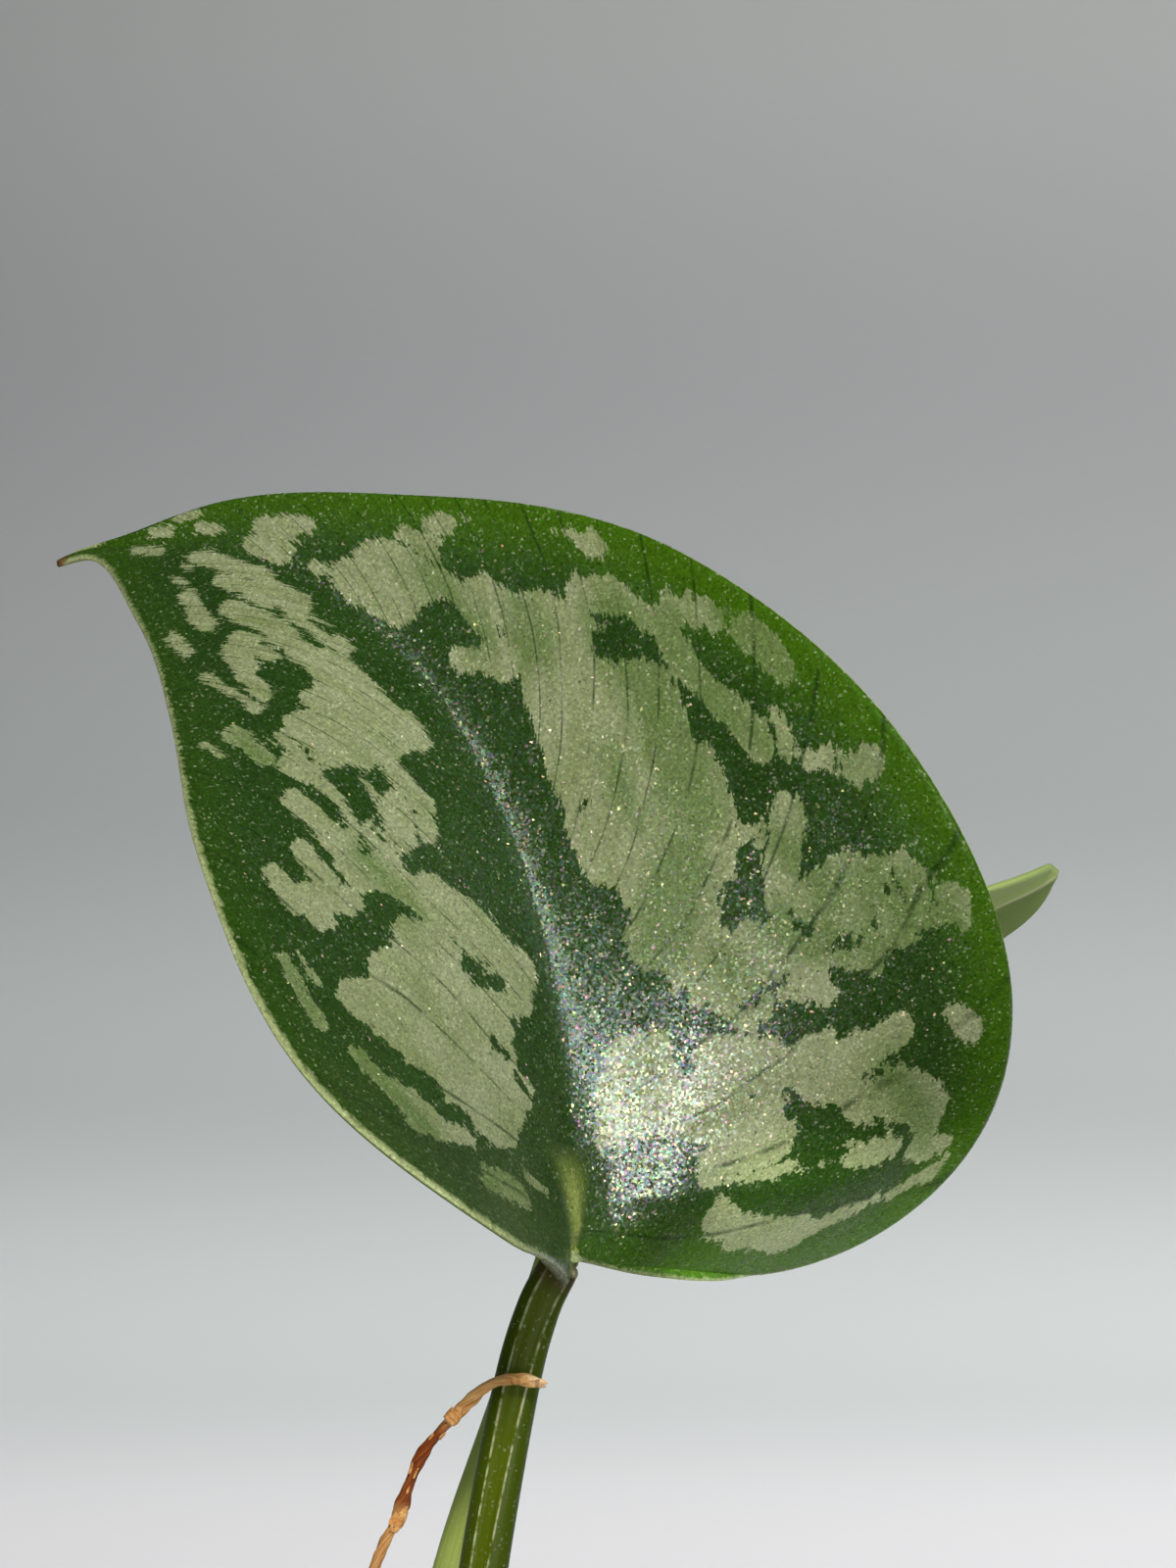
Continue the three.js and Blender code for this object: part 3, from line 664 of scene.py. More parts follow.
def satinSkinMaterial():
    s = satinSkin
    material = newMaterial("satinLeafSkin")
    tree = material.node_tree
    spot = attribute(tree, "leafPlace", "Vector")
    flat = add(tree, "ShaderNodeSeparateXYZ", {"Vector": spot})
    veins = attribute(tree, "veinPlace", "Vector")
    silver = attribute(tree, "silver")
    edge = attribute(tree, "edgeDistance")
    solid = add(tree, "ShaderNodeTexCoord").outputs["Object"]
    cells = add(tree, "ShaderNodeTexVoronoi", {"Vector": solid, "Scale": 1 / (s["cell"] * mm)})
    cellTone = add(tree, "ShaderNodeSeparateColor", {"Color": cells.outputs["Color"]})

    # outline of the silver, torn along the veins and toothed by the cells
    torn = noise(tree, veins, 0.7, 2, 0.55)
    teeth = noise(tree, veins, 2.4, 2, 0.7)
    wide = maths(tree, "ADD", torn, -0.5)
    wide = maths(tree, "MULTIPLY_ADD", wide, s["edgeNoise"], silver)
    fine = maths(tree, "ADD", teeth, -0.5)
    fine = maths(tree, "MULTIPLY_ADD", fine, s["edgeTeeth"], wide)
    ragged = maths(tree, "MULTIPLY_ADD", cellTone.outputs[0], 0.22, fine)
    mask = remap(tree, ragged, s["edgeBlend"], way="SMOOTHSTEP")

    # greens
    drift = noise(tree, spot, 0.11, 4, 0.6)
    green = blend(tree, drift, linear(s["deepGreen"]), linear(s["midGreen"]))
    nearEdge = remap(tree, edge, (0.5, 7), (0.75, 0), way="SMOOTHSTEP")
    half = remap(tree, flat.outputs["X"], (-6, 10))
    margin = blend(tree, half, linear(s["edgeGreen"][0]), linear(s["edgeGreen"][1]))
    green = blend(tree, nearEdge, green, margin)

    # silver, a little uneven
    cloud = noise(tree, veins, 0.3, 3, 0.6)
    cloudy = remap(tree, cloud, (0.3, 0.65))
    sage = blend(tree, cloudy, linear(s["silverShade"]), linear(s["silver"]))
    dim = attribute(tree, "dim")
    dimmed = maths(tree, "MULTIPLY_ADD", torn, 3.0, dim)
    dimmed = remap(tree, dimmed, (0.2, 2.6), (0, 0.8))
    sage = blend(tree, dimmed, sage, linear(s["dimSilver"]))
    skin = blend(tree, mask, green, sage)

    # fine veins, darker than the silver
    acrossVeins = add(tree, "ShaderNodeSeparateXYZ", {"Vector": veins})
    sway = noise(tree, veins, 0.18, 1)
    line = maths(tree, "MULTIPLY_ADD", sway, s["veinSway"], acrossVeins.outputs["X"])
    line = maths(tree, "PINGPONG", line, s["veinGap"])
    vein = remap(tree, line, (s["veinLine"] * 0.5, s["veinLine"] * 2.2), (1, 0))
    broken = remap(tree, noise(tree, spot, 0.35), (0.38, 0.56), (0.1, 0.75))
    veinShare = maths(tree, "MULTIPLY", vein, broken)
    skin = blend(tree, veinShare, skin, linear(s["deepGreen"]))

    # pale rim, widened into a painted highlight on the left and lower margins where the light catches the
    # edge, and cell by cell unevenness, painted in as glitter
    leftRimHighlight = remap(tree, flat.outputs["X"], (-2, 2), (s["rimWidth"], 0.05))
    lowRimHighlight = remap(tree, flat.outputs["Y"], (1, 5), (s["rimWidth"] * 0.7, 0.05))
    rimWidth = maths(tree, "MAXIMUM", leftRimHighlight, lowRimHighlight)
    mottle = remap(tree, teeth, (0.3, 0.6), (0.4, 1.2))
    rimWidth = maths(tree, "MULTIPLY", rimWidth, mottle)
    rim = remap(tree, edge, (0.0, rimWidth), (0.85, 0))
    skin = blend(tree, rim, skin, linear(s["rim"]))
    # pale foot of the midrib, its paler green and a painted highlight on the lit ridge
    foot = attribute(tree, "foot")
    foot = maths(tree, "MULTIPLY", foot, 0.9)
    skin = blend(tree, foot, skin, linear(s["foot"]))
    dry = attribute(tree, "dryTip")
    skin = blend(tree, dry, skin, linear(s["dry"]))
    # the lowest part of the right lobe is thin; the light shining through it is painted in by brightening
    # its colour
    lowest = remap(tree, flat.outputs["Y"], s["throughLightBelow"], (1, 0), way="SMOOTHSTEP")
    outer = remap(tree, flat.outputs["X"], s["throughLightOuter"], way="SMOOTHSTEP")
    thin = maths(tree, "MULTIPLY", lowest, outer)
    thin = maths(tree, "MULTIPLY_ADD", thin, s["paintedThroughLight"], 1.0)
    skin = vectorMaths(tree, "MULTIPLY", skin, thin)
    # painted glitter: each cell's brightness differs, and rare cells are painted pale as glints
    paintedGlitter = remap(tree, cellTone.outputs[1], (0, 1), (0.74, 1.22))
    skin = vectorMaths(tree, "MULTIPLY", skin, paintedGlitter)
    speck = maths(tree, "POWER", cellTone.outputs[1], s["paintedGlintRarity"])
    speck = maths(tree, "MULTIPLY", speck, s["paintedGlintShare"])
    skin = blend(tree, speck, skin, linear(s["speck"]))

    # each cell is a small dome that faces its own way
    askew = maths(tree, "POWER", cellTone.outputs[0], s["askewRarity"])
    askew = maths(tree, "MULTIPLY_ADD", askew, s["cellTilt"][1], s["cellTilt"][0])
    chance = add(tree, "ShaderNodeTexWhiteNoise", {"Vector": cells.outputs["Color"]})
    way = vectorMaths(tree, "ADD", chance.outputs["Color"], (-0.5, -0.5, -0.5))
    way = scaled(tree, way, askew)
    facing = add(tree, "ShaderNodeNewGeometry").outputs["Normal"]
    facing = vectorMaths(tree, "ADD", facing, way)
    facing = vectorMaths(tree, "NORMALIZE", facing)
    smoothest, roughest = s["roughness"] - s["unevenGloss"], s["roughness"] + s["unevenGloss"]
    gloss = remap(tree, cellTone.outputs[2], (0, 1), (smoothest, roughest))
    glint = blend(tree, s["colouredGlint"], (1, 1, 1, 1), cells.outputs["Color"])
    # the cells flatten and lose their glitter towards the margin, most of all on the right half
    nearMargin = remap(tree, edge, (0.2, 4), (s["marginGlint"], 1))
    farOut = remap(tree, flat.outputs["X"], (11, 24), (1, s["marginGlint"] + 0.1))
    fade = maths(tree, "MULTIPLY", nearMargin, farOut)
    glint = scaled(tree, glint, fade)
    shader = add(tree, "ShaderNodeBsdfPrincipled", {
        "Base Color": skin, "Roughness": gloss, "Specular Tint": glint, "Specular IOR Level": 0.32,
        "IOR": 1.45, "Normal": facing})
    add(tree, "ShaderNodeOutputMaterial", {"Surface": shader})
    return material


# Underside of the leaves: matte, paler, with lighter veins
undersideSkin = {
    "green": "#7f9f5c",
    "shade": "#67894a",
    "vein": "#a9bd84",
    "roughness": 0.6,
}


def undersideMaterial():
    s = undersideSkin
    material = newMaterial("leafUnderside")
    tree = material.node_tree
    spot = attribute(tree, "leafPlace", "Vector")
    veins = attribute(tree, "veinPlace", "Vector")
    cloud = noise(tree, spot, 0.3, 5, 0.65)
    skin = blend(tree, cloud, linear(s["shade"]), linear(s["green"]))
    parts = add(tree, "ShaderNodeSeparateXYZ", {"Vector": veins})
    line = maths(tree, "PINGPONG", parts.outputs["X"], 2.2)
    vein = remap(tree, line, (0.1, 0.35), (0.6, 0))
    skin = blend(tree, vein, skin, linear(s["vein"]))
    flat = add(tree, "ShaderNodeSeparateXYZ", {"Vector": spot})
    side = maths(tree, "ABSOLUTE", flat.outputs["X"])
    rib = remap(tree, side, (0.4, 1.1), (0.9, 0))
    skin = blend(tree, rib, skin, linear(s["vein"]))
    grain = noise(tree, add(tree, "ShaderNodeTexCoord").outputs["Object"], 1 / (0.35 * mm))
    bump = bumped(tree, grain, 0.25, 0.0001)
    shader = add(tree, "ShaderNodeBsdfPrincipled", {
        "Base Color": skin, "Roughness": s["roughness"], "Specular IOR Level": 0.15, "Normal": bump})
    add(tree, "ShaderNodeOutputMaterial", {"Surface": shader})
    return material


# The crown leaf's markings, in mm on the flattened blade of 89 mm: from x, y to x, y with this half width
crownMarks = {
    "spread": (0.3, 0.14),  # right and left half
    "silver": [
        # right half, from the tip down
        (1.3, 79.6, 1.4, 78.6, 0.6), (2.1, 75.6, 2.2, 74, 0.45), (2.9, 78, 3.4, 76.2, 0.35),
        (1.6, 70.2, 1.6, 68, 1.1), (3.3, 70, 4.2, 67.3, 1.0), (1.7, 64.6, 1.9, 63.8, 0.5),
        (2.5, 61.5, 2.8, 57, 1.7), (4.6, 60.5, 5.2, 57, 1.8), (6.2, 59.5, 6.6, 55.5, 1.0),
        (1.6, 60, 1.4, 60.4, 1.0), (8, 59.6, 8.6, 57.4, 0.8), (10, 58.6, 12, 56.3, 0.6),
        (7, 55.5, 7.2, 50.5, 0.8), (8.8, 53, 9.4, 50, 1.4), (3.6, 50.2, 4.4, 49.6, 0.9),
        (6, 48.4, 8, 47.6, 1.5), (11, 48.4, 12.8, 46, 2.2), (15, 48.2, 17, 47, 1.2),
        (17.6, 46.8, 17.8, 45.8, 0.8), (16.4, 51.4, 18.6, 49.9, 0.8), (9, 44.5, 8, 40, 2.5),
        (12.2, 43, 12, 37, 2.6), (7, 39, 8, 33, 2.0), (15.6, 41.2, 15, 36, 2.3),
        (18.8, 44, 19.8, 40.6, 1.2), (20.8, 44.2, 23.3, 42.6, 0.9), (25.4, 40.6, 26.6, 38.4, 1.1),
        (6.6, 34, 7, 31, 1.9), (11, 35, 10.6, 28, 2.8), (15.6, 34, 15.6, 30, 2.7),
        (17.6, 34.5, 17.4, 32, 1.4), (10, 29, 9.4, 24.6, 2.4), (14, 30, 12.8, 24, 1.7),
        (13.2, 22.6, 15.6, 20, 2.6), (11.6, 23.6, 11.6, 21, 1.8), (16.8, 22.8, 19, 20.6, 1.5),
        (22.8, 30.4, 20.8, 27.4, 1.2), (20.4, 26.6, 19.8, 25.4, 1.1), (22, 25, 26.4, 25.8, 1.3),
        (24, 23, 29, 22.7, 1.5), (30.4, 22.6, 32.2, 22.7, 0.7), (33.4, 22.9, 34.4, 22.3, 0.65),
        (28.6, 31.4, 30.6, 31.6, 0.85), (25.4, 32.9, 27.2, 32.5, 0.5), (20.6, 39, 22.4, 34.6, 1.1),
        (24.6, 36, 24.4, 33.6, 0.5), (19.2, 23, 21.4, 20.6, 1.3), (22.4, 21.8, 26.4, 20.9, 1.0),
        (30, 24.6, 31.8, 24, 0.9), (19.1, 31.6, 19, 29.6, 1), (28.9, 12.8, 32, 11.3, 1.3),
        (20.5, 13, 26.8, 14, 1.3), (20.1, 19.2, 22.5, 19.2, 0.7), (13, 6.5, 28.7, 9.4, 0.3),
        (26.7, 4.5, 35.2, 7.3, 0.3), (31.8, 9, 32.7, 10.2, 0.7), (32.5, 5.9, 35.2, 8.2, 0.25),
        (25.9, 25.2, 30.4, 25.6, 0.9), (28.5, 23, 34.1, 23.2, 0.9), (20.2, 19.1, 22.6, 18.9, 0.45),
        (4.4, 13.6, 5.6, 12, 1.9), (5.8, 15.4, 8.4, 15.6, 2.2), (9, 12.6, 12, 12, 2.7),
        (12.6, 15, 17, 14.6, 2.0), (14, 9.4, 17, 10.4, 2.5), (3.8, 10.8, 3.6, 9.6, 1.2),
        (12.2, 8, 12, 7.4, 1.2), (19.4, 14.4, 21.8, 15.6, 1.2), (23.6, 15, 28.4, 16.3, 0.9),
        (33, 16.8, 34.6, 15.9, 0.75), (24.4, 11.8, 31.6, 11.9, 1.0), (22.4, 13.2, 23.4, 12.6, 1.0),
        (24.8, 8.2, 29.6, 9.1, 0.5), (32.8, 9, 34.4, 9.2, 0.6), (13.6, 4.2, 16, 3.6, 1.1),
        (17.4, 3.2, 25.2, 3.0, 1.15), (26, 3.6, 29.4, 5.2, 0.6),
        # left half, from the tip down
        (-0.8, 81, -0.9, 78.6, 0.5), (-1.2, 74.6, -1.6, 68, 1.0), (-2.4, 75.4, -2.6, 74.8, 0.4),
        (-4.4, 75.4, -4.6, 74.4, 0.4), (-3.2, 71, -3.6, 66, 1.1), (-2.6, 67, -2.8, 63.6, 1.3),
        (-4.2, 63, -4.0, 57.2, 0.9), (-6.4, 68.4, -6.6, 62, 1.2), (-7.2, 62, -7.4, 57, 1.3),
        (-6, 73.4, -9.2, 69.2, 0.8), (-8, 71.2, -9, 69, 0.9), (-11.2, 71.8, -12.8, 68.6, 0.75),
        (-9.2, 65, -9.4, 61, 1.1), (-10.8, 64.6, -11.8, 61.4, 1.1), (-12.6, 61.6, -13.7, 57.2, 0.9),
        (-15.2, 64.4, -15.6, 56, 0.6), (-6.8, 56.6, -6.6, 47, 2.0), (-9.6, 53.4, -9, 46.6, 2.4),
        (-13.6, 52, -13.2, 47.4, 1.8), (-11.6, 49.4, -11, 46.6, 2.0), (-4.6, 48, -4.6, 45.4, 0.9),
        (-17.4, 48, -16.4, 46.4, 1.4), (-19.2, 55.4, -18.8, 50, 1.0), (-16.3, 51.6, -16, 48.8, 0.7),
        (-21.9, 55.8, -21.9, 52.6, 0.5), (-19.4, 43.8, -18.4, 38, 1.4), (-16, 44.6, -15.8, 38, 0.8),
        (-12.2, 43.6, -12.2, 40, 0.45), (-9, 43.2, -8, 39.6, 1.2), (-10.6, 40.4, -11.8, 37, 1.5),
        (-8.6, 38.6, -9, 36.8, 1.0), (-14.2, 38.4, -14, 34.6, 1.2), (-22, 38, -20.8, 33, 1.1),
        (-18, 38, -18, 33.6, 1.5), (-25.6, 36, -25.2, 31.8, 1.1), (-23.6, 33, -23.4, 30, 1.4),
        (-21.6, 33, -20, 31.6, 1.6), (-16.4, 34, -12.6, 31.8, 1.8), (-11.6, 31, -7.4, 27, 2.4),
        (-15, 27.4, -12.6, 25.6, 2.2), (-6.4, 26, -3.8, 23.6, 1.9), (-23.4, 21.6, -19, 21.6, 2.2),
        (-19, 24.4, -16, 24.6, 2.2), (-16, 21.6, -9, 20.4, 3.2), (-7.4, 22.6, -5, 21.4, 1.6),
        (-21, 18.4, -18, 16.6, 2.5), (-16, 17, -10, 16, 3.2), (-16, 12.4, -10, 13, 3.0),
        (-8.4, 14, -7.2, 13.4, 1.6), (-14, 9.8, -11, 10, 1.4), (-29.1, 26.4, -28.6, 19.4, 0.75),
        (-27, 27, -26.8, 23.6, 0.5), (-26.4, 16.6, -24.6, 11, 0.9), (-24.4, 13, -21.6, 10.6, 1.4),
        (-25, 9.8, -18, 9, 0.9), (-18.8, 5.6, -13.4, 4.6, 1.3), (-10.6, 6.2, -6.6, 5.2, 0.45),
    ],
    "green": [
        # over the right half
        (9.2, 56.4, 9.2, 54.6, 0.9), (11.6, 56.2, 13, 54, 1.3), (13, 52.6, 15.6, 51, 1.8),
        (16.4, 49.4, 16.8, 48.8, 0.5), (14.2, 44.6, 17.4, 43, 1.1), (21.6, 41, 22.4, 39.4, 1.3),
        (19.4, 36, 19.6, 31, 1.0), (18.2, 28.6, 17.6, 26.2, 1.0), (16.4, 25.6, 18.6, 24.6, 0.6),
        (6.2, 28.6, 7, 26.6, 0.9), (9.7, 17.6, 10.3, 14.8, 0.75), (8.4, 19.6, 11, 20.2, 0.5),
        (4, 7.6, 8.4, 7.4, 1.5), (6.4, 9.4, 6.6, 9, 0.6), (19.4, 11.6, 22.6, 10.4, 1.0),
        (20.4, 8.2, 24, 8.8, 0.7), (3.4, 67.2, 3.6, 66.6, 0.5), (7.3, 60.6, 7.8, 55.4, 0.18),
        (15, 18.6, 19.4, 20.4, 0.45), (16.6, 16.8, 24, 18.2, 0.5), (26.4, 10.6, 29.6, 10.4, 0.4),
        (12, 5.7, 20, 6.9, 0.5), (6.2, 35.2, 7.6, 35.6, 0.3), (29.5, 24.7, 30, 23.8, 0.45),
        (27, 24.4, 27.4, 23.1, 0.4), (32.4, 25, 32.4, 23.1, 0.4), (25.4, 13.5, 28.5, 14.9, 0.6),
        (23, 21.5, 27.3, 22.5, 0.35),
        # over the left half
        (-3.5, 61.6, -3.6, 59, 0.35), (-5.1, 65, -5.2, 56.6, 0.1), (-11, 58.6, -10.2, 56.6, 1.3),
        (-8.6, 63.4, -8.5, 60.6, 0.25), (-20, 28.8, -17.6, 30, 0.9), (-15.4, 30.6, -16.4, 29.6, 0.8),
        (-24.6, 26.6, -21.4, 27.8, 1.6), (-25.8, 24.4, -26, 27, 1.0), (-9.6, 23.2, -6.8, 22.7, 0.6),
        (-9.4, 17.6, -8, 16.5, 0.45), (-26.8, 20.4, -26.2, 17.6, 0.6), (-23.2, 17.2, -21.8, 16, 0.75),
        (-22.4, 14.4, -20, 12.2, 0.5), (-19.6, 11.8, -16.8, 10.4, 0.6), (-24.4, 7.4, -19.4, 6.8, 1.0),
        (-14.2, 7.4, -11.4, 6.6, 0.6), (-23.8, 39, -23.4, 35, 0.5), (-16.6, 40, -15.4, 36, 0.28),
        (-13.8, 38.6, -12, 35, 0.35), (-20.6, 39.6, -20.4, 35.4, 0.22), (-17.6, 44.4, -16.8, 40.6, 0.7),
        (-14.4, 44, -13.4, 40.4, 0.6), (-6.2, 19.4, -5.2, 16.6, 0.5), (-7.4, 15, -5.8, 12, 0.3),
    ],
    "dim": [  # greener parts of the silver
        (16, 45, 15.4, 33, 2.6), (10.4, 38, 10.6, 33, 1.0), (20, 43, 20.6, 37, 2.0),
        (13, 29, 9.6, 24, 2.6), (27.9, 24.8, 32.6, 21.9, 2.2), (23.9, 24.7, 26.1, 25.9, 1.2),
        (27.4, 13.6, 32, 10.2, 1.3), (20.4, 40, 23, 33.6, 1.4), (19, 24, 28, 20.6, 1.8),
        (29, 25, 32, 23, 1.6), (24, 30, 23.4, 26, 1.2), (24.6, 42, 26.6, 38, 2), (9, 47, 10.6, 50.5, 1.4),
        (21.4, 28.6, 24.6, 24.4, 1.6), (14.6, 22, 17, 20, 1.2), (6.6, 57, 6.2, 50.5, 1.2),
        (30, 31.4, 29, 31.6, 1), (-19.2, 54, -19, 50, 1.2), (-21, 6, -12, 5, 1.6),
        (-28.8, 26, -28.4, 20, 1.2), (-26, 16, -24, 9.6, 1.5), (-16.4, 36, -14, 30, 0.9),
    ],
}


def crownMarkings(leaf, length):
    return crownMarks


# The right lobe of the crown leaf is pushed forward along a soft low fold, so the part above it faces up
lobeFold = {
    "height": 1.75,
    "place": 5.6,  # along the midrib, at this distance out
    "placeOut": 11,
    "slant": 0.09,
    "above": 12.2,
    "below": 3.5,
    "from": (3, 10),
    "to": (23, 33),
}


def crownRelief(x, y):
    f = lobeFold
    past = y - f["place"] - f["slant"] * (x - f["placeOut"])
    above = np.clip(1 - past / f["above"], 0, 1) ** 2
    shelf = np.where(past > 0, above, np.exp(-(past / f["below"]) ** 2))
    shelf = f["height"] * shelf * ease(x, *f["from"]) * (1 - ease(x, *f["to"]))
    return shelf + footRelief(crownLeaf, x, y)


def footRelief(leaf, x, y):
    centre, width = footShape(leaf, y)
    ridge = ribFoot["height"] * np.exp(-((x - centre) / width) ** 2)
    return ridge * ease(y, *ribFoot["rise"]) * (1 - ease(y, *ribFoot["fall"]))


def dripTip(points, y, length):
    # the drip tip droops and thickens into a small dry hook
    past = np.clip((y - length + dripHook["length"]) / dripHook["length"], 0, 1)[..., None]
    return points - up * dripHook["droop"] * past ** 2


# Markings of the other leaves: dabs strewn along the side veins, thinned out at the midrib and the margin
strewn = {
    "silver": 62,
    "green": 26,
    "spread": (0.4, 0.4),
    "longest": 9.0,
    "shortest": 0.15,  # of the longest
    "widest": 1.7,
    "thinnest": 0.3,  # of the widest
    "greenWidth": 0.55,
    "along": (0.03, 0.86),
    "out": {"silver": (0.2, 0.84), "green": (0.3, 0.9)},
    "slope": 1.1,
}


def strewnMarkings(leaf, length):
    chance = random.Random(leaf["name"])
    found = {"silver": [], "green": []}
    for key, side in (("left", -1), ("right", 1)):
        margin = catmullRom(leaf[key]["outline"], np.linspace(0, 1, 200)) * length
        turn = blade["veinCurve"][leaf[key]["veins"]] / length
        for kind in ("silver", "green"):
            for _ in range(strewn[kind]):
                y = length * chance.uniform(*strewn["along"])
                widest = np.interp(y, margin[:, 1], margin[:, 0]) if margin[0, 1] <= y else 0
                x = widest * chance.uniform(*strewn["out"][kind])
                slope = math.atan(turn * max(y, 3) * strewn["slope"])
                reach = strewn["longest"] * chance.uniform(strewn["shortest"], 1)
                reach = reach * (0.5 + 0.5 * widest / (0.4 * length)) / 2
                radius = strewn["widest"] * chance.uniform(strewn["thinnest"], 1)
                radius = radius * (1 if kind == "silver" else strewn["greenWidth"])
                dx, dy = reach * math.cos(slope), reach * math.sin(slope)
                found[kind].append((side * (x - dx), y - dy, side * (x + dx), y + dy, radius))
    return found


def noMarkings(leaf, length):
    return {"silver": [], "green": []}


skin = satinSkinMaterial()
underside = undersideMaterial()


# Shoots, with their petioles. Foot and lean are horizontal, azimuths run from +X towards +Y.

soil = {
    "level": 75,
    "mound": 2.5,
    "lumps": 0.7,
    "grain": 0.55,
    "rings": 70,
    "segments": 200,
    "gap": 0.35,  # to the pot's wall and floor
    "crumbEdge": 1.2,  # crumbs stay this far off the wall
    "colours": ("#1f140d", "#3e2b1d"),
    "fineGrain": 0.5,
    "roughness": 0.95,
    "crumbRoughness": 0.9,
}
stem = {
    "radius": 2.4,
    "buried": 22,
    "straight": 4,
    "leanStart": 0.4,
    "leanHeight": 0.6,
    "lowestNode": 0.12,
    "nodeSwelling": 0.16,
    "nodeLength": 2.2,
    "scarBelow": 0.9,  # the ring that an old leaf left, this far under the node
    "scarLength": 0.35,
    "scarSwelling": 0.05,
    "steps": 140,
}
petiole = {
    "footRadius": 1.9,
    "radius": 1.7,
    "neckRadius": 1.45,
    "headroom": 0.75,
    "setBack": 0.8,
    "sides": 48,
    "steps": 110,
}
crownPetiole = {
    "girth": 1.17,
    "from": 0.985,
    "path": [(-1.1, 3.2, 122), (1.45, 2.4, 140.8), (4.05, 1.5, 155.3), (5.85, 0.8, 161.9)],
    "kind": 1,
    "twist": (-20, -14, 5),  # of the channel, in degrees
    "spread": (0.5, 0.55, 1.05),
}
rearPetiole = {
    "girth": 1,
    "from": 0.9,
    "path": [(-5.2, 9.5, 122), (-1.3, 12, 138.8), (3.4, 12.7, 152.8), (8.5, 14.5, 168.7),
             (10.8, 15.8, 176.5)],
    "kind": 2,
    "twist": (150, 150, 150),  # of the channel, in degrees
    "spread": (1, 1, 1),
}
arched = {
    "fold": (20, 15, 10),
    "curl": (-0.35, -0.3, -0.4),
    "legs": (0.38, 0.3, 0.36),
    "bendOut": 0.35,
    "bendUp": 0.55,
    "neckLength": 5,
    "neckDrop": 0.8,
}
# name, then share of the height, azimuth, reach, rise, length, lift, droop, sweep and roll
shoots = [
    {"name": "crown_stem", "foot": (-6, 8), "lean": (3, -4), "height": 33, "leaves": [
        ("crown_low_leaf_blade", 0.45, 150, 26, 15, 66, 12, 48, 14, -10)]},
    {"name": "right_stem", "foot": (21, -5), "lean": (7, -5), "height": 29, "leaves": [
        ("right_front_leaf_blade", 1, -38, 22, 18, 74, 22, 52, -12, 8),
        ("right_back_leaf_blade", 0.72, 32, 24, 14, 68, 14, 46, 15, -8),
        ("front_leaf_blade", 0.4, -98, 26, 14, 60, 10, 50, 10, 6)]},
    {"name": "left_stem", "foot": (-24, -9), "lean": (-7, -5), "height": 27, "leaves": [
        ("left_front_leaf_blade", 1, 236, 20, 17, 70, 20, 54, 12, -8),
        ("left_leaf_blade", 0.6, 194, 24, 12, 62, 8, 50, -10, 8)]},
    {"name": "back_stem", "foot": (4, 29), "lean": (2, 8), "height": 22, "leaves": [
        ("back_leaf_blade", 1, 70, 18, 10, 66, 10, 52, 12, 8),
        ("back_left_leaf_blade", 0.55, 112, 22, 9, 58, 10, 48, -12, -6)]},
]


def stemPoints(shoot):
    (x, y), (dx, dy), height = shoot["foot"], shoot["lean"], shoot["height"]
    ground = soil["level"] + soil["mound"]
    lean, rise = stem["leanStart"], stem["leanHeight"]
    return [(x, y, ground - stem["buried"]), (x, y, ground + stem["straight"]),
            (x + dx * lean, y + dy * lean, ground + height * rise), (x + dx, y + dy, ground + height)]


def stemShare(shoot, share):
    return (stem["buried"] + share * shoot["height"]) / (stem["buried"] + shoot["height"])


def turned(vector, axis, degrees):
    a = math.radians(degrees)
    along = axis * (axis @ vector) * (1 - math.cos(a))
    return vector * math.cos(a) + np.cross(axis, vector) * math.sin(a) + along


def archedLeaf(shoot, spec, index):
    name, share, azimuth, reach, rise, length, lift, droop, sweep, roll = spec
    root = evenly(stemPoints(shoot), np.array([stemShare(shoot, share)]))[0][0]
    heading = lambda a: np.array([math.cos(math.radians(a)), math.sin(math.radians(a)), 0.0])
    tilted = lambda way, a: way * math.cos(math.radians(a)) + up * math.sin(math.radians(a))
    out = heading(azimuth)
    start, end = tilted(out, lift), tilted(heading(azimuth + sweep), -droop)
    middle = unit(start + end)
    first = start * length * arched["legs"][0]
    second = first + middle * length * arched["legs"][1]
    third = second + end * length * arched["legs"][2]
    facing = [turned(squareTo(up, way), way, roll) for way in (start, middle, end)]
    halves = [(narrowHalf, "narrow"), (wideHalf, "wide")][::-1 if index % 2 else 1]
    left, right = ({"outline": outline, "fold": arched["fold"], "curl": arched["curl"], "veins": veins}
                   for outline, veins in halves)
    return {"name": name, "root": root, "out": out, "base": root + out * reach + up * rise,
            "path": [first, second, third], "facing": facing, "left": left, "right": right}


def petioleEnd(leaf):
    start = unit(np.array(leaf["path"][0], float))
    normal = squareTo(np.array(leaf["facing"][0], float), start)
    return np.array(leaf["base"], float) - start * petiole["headroom"] - normal * petiole["setBack"]


def petioleRoute(leaf):
    end = petioleEnd(leaf)
    start = unit(np.array(leaf["path"][0], float))
    rise = end[2] - leaf["root"][2]
    bend = leaf["root"] + leaf["out"] * rise * arched["bendOut"] + up * rise * arched["bendUp"]
    neck = end - start * arched["neckLength"] - up * arched["neckDrop"]
    return [leaf["root"], bend, neck, end]


# Cross-section of a stalk, drawn by Geometry Nodes along its path: a round bar, flattened into a channel
# between two thin ridges on the side that the petiole's groove faces
channel = {
    "Channel depth": 0.16,
    "Channel width": 0.62,
    "Ridge height": 0.07,
    "Ridge width": 0.07,
}


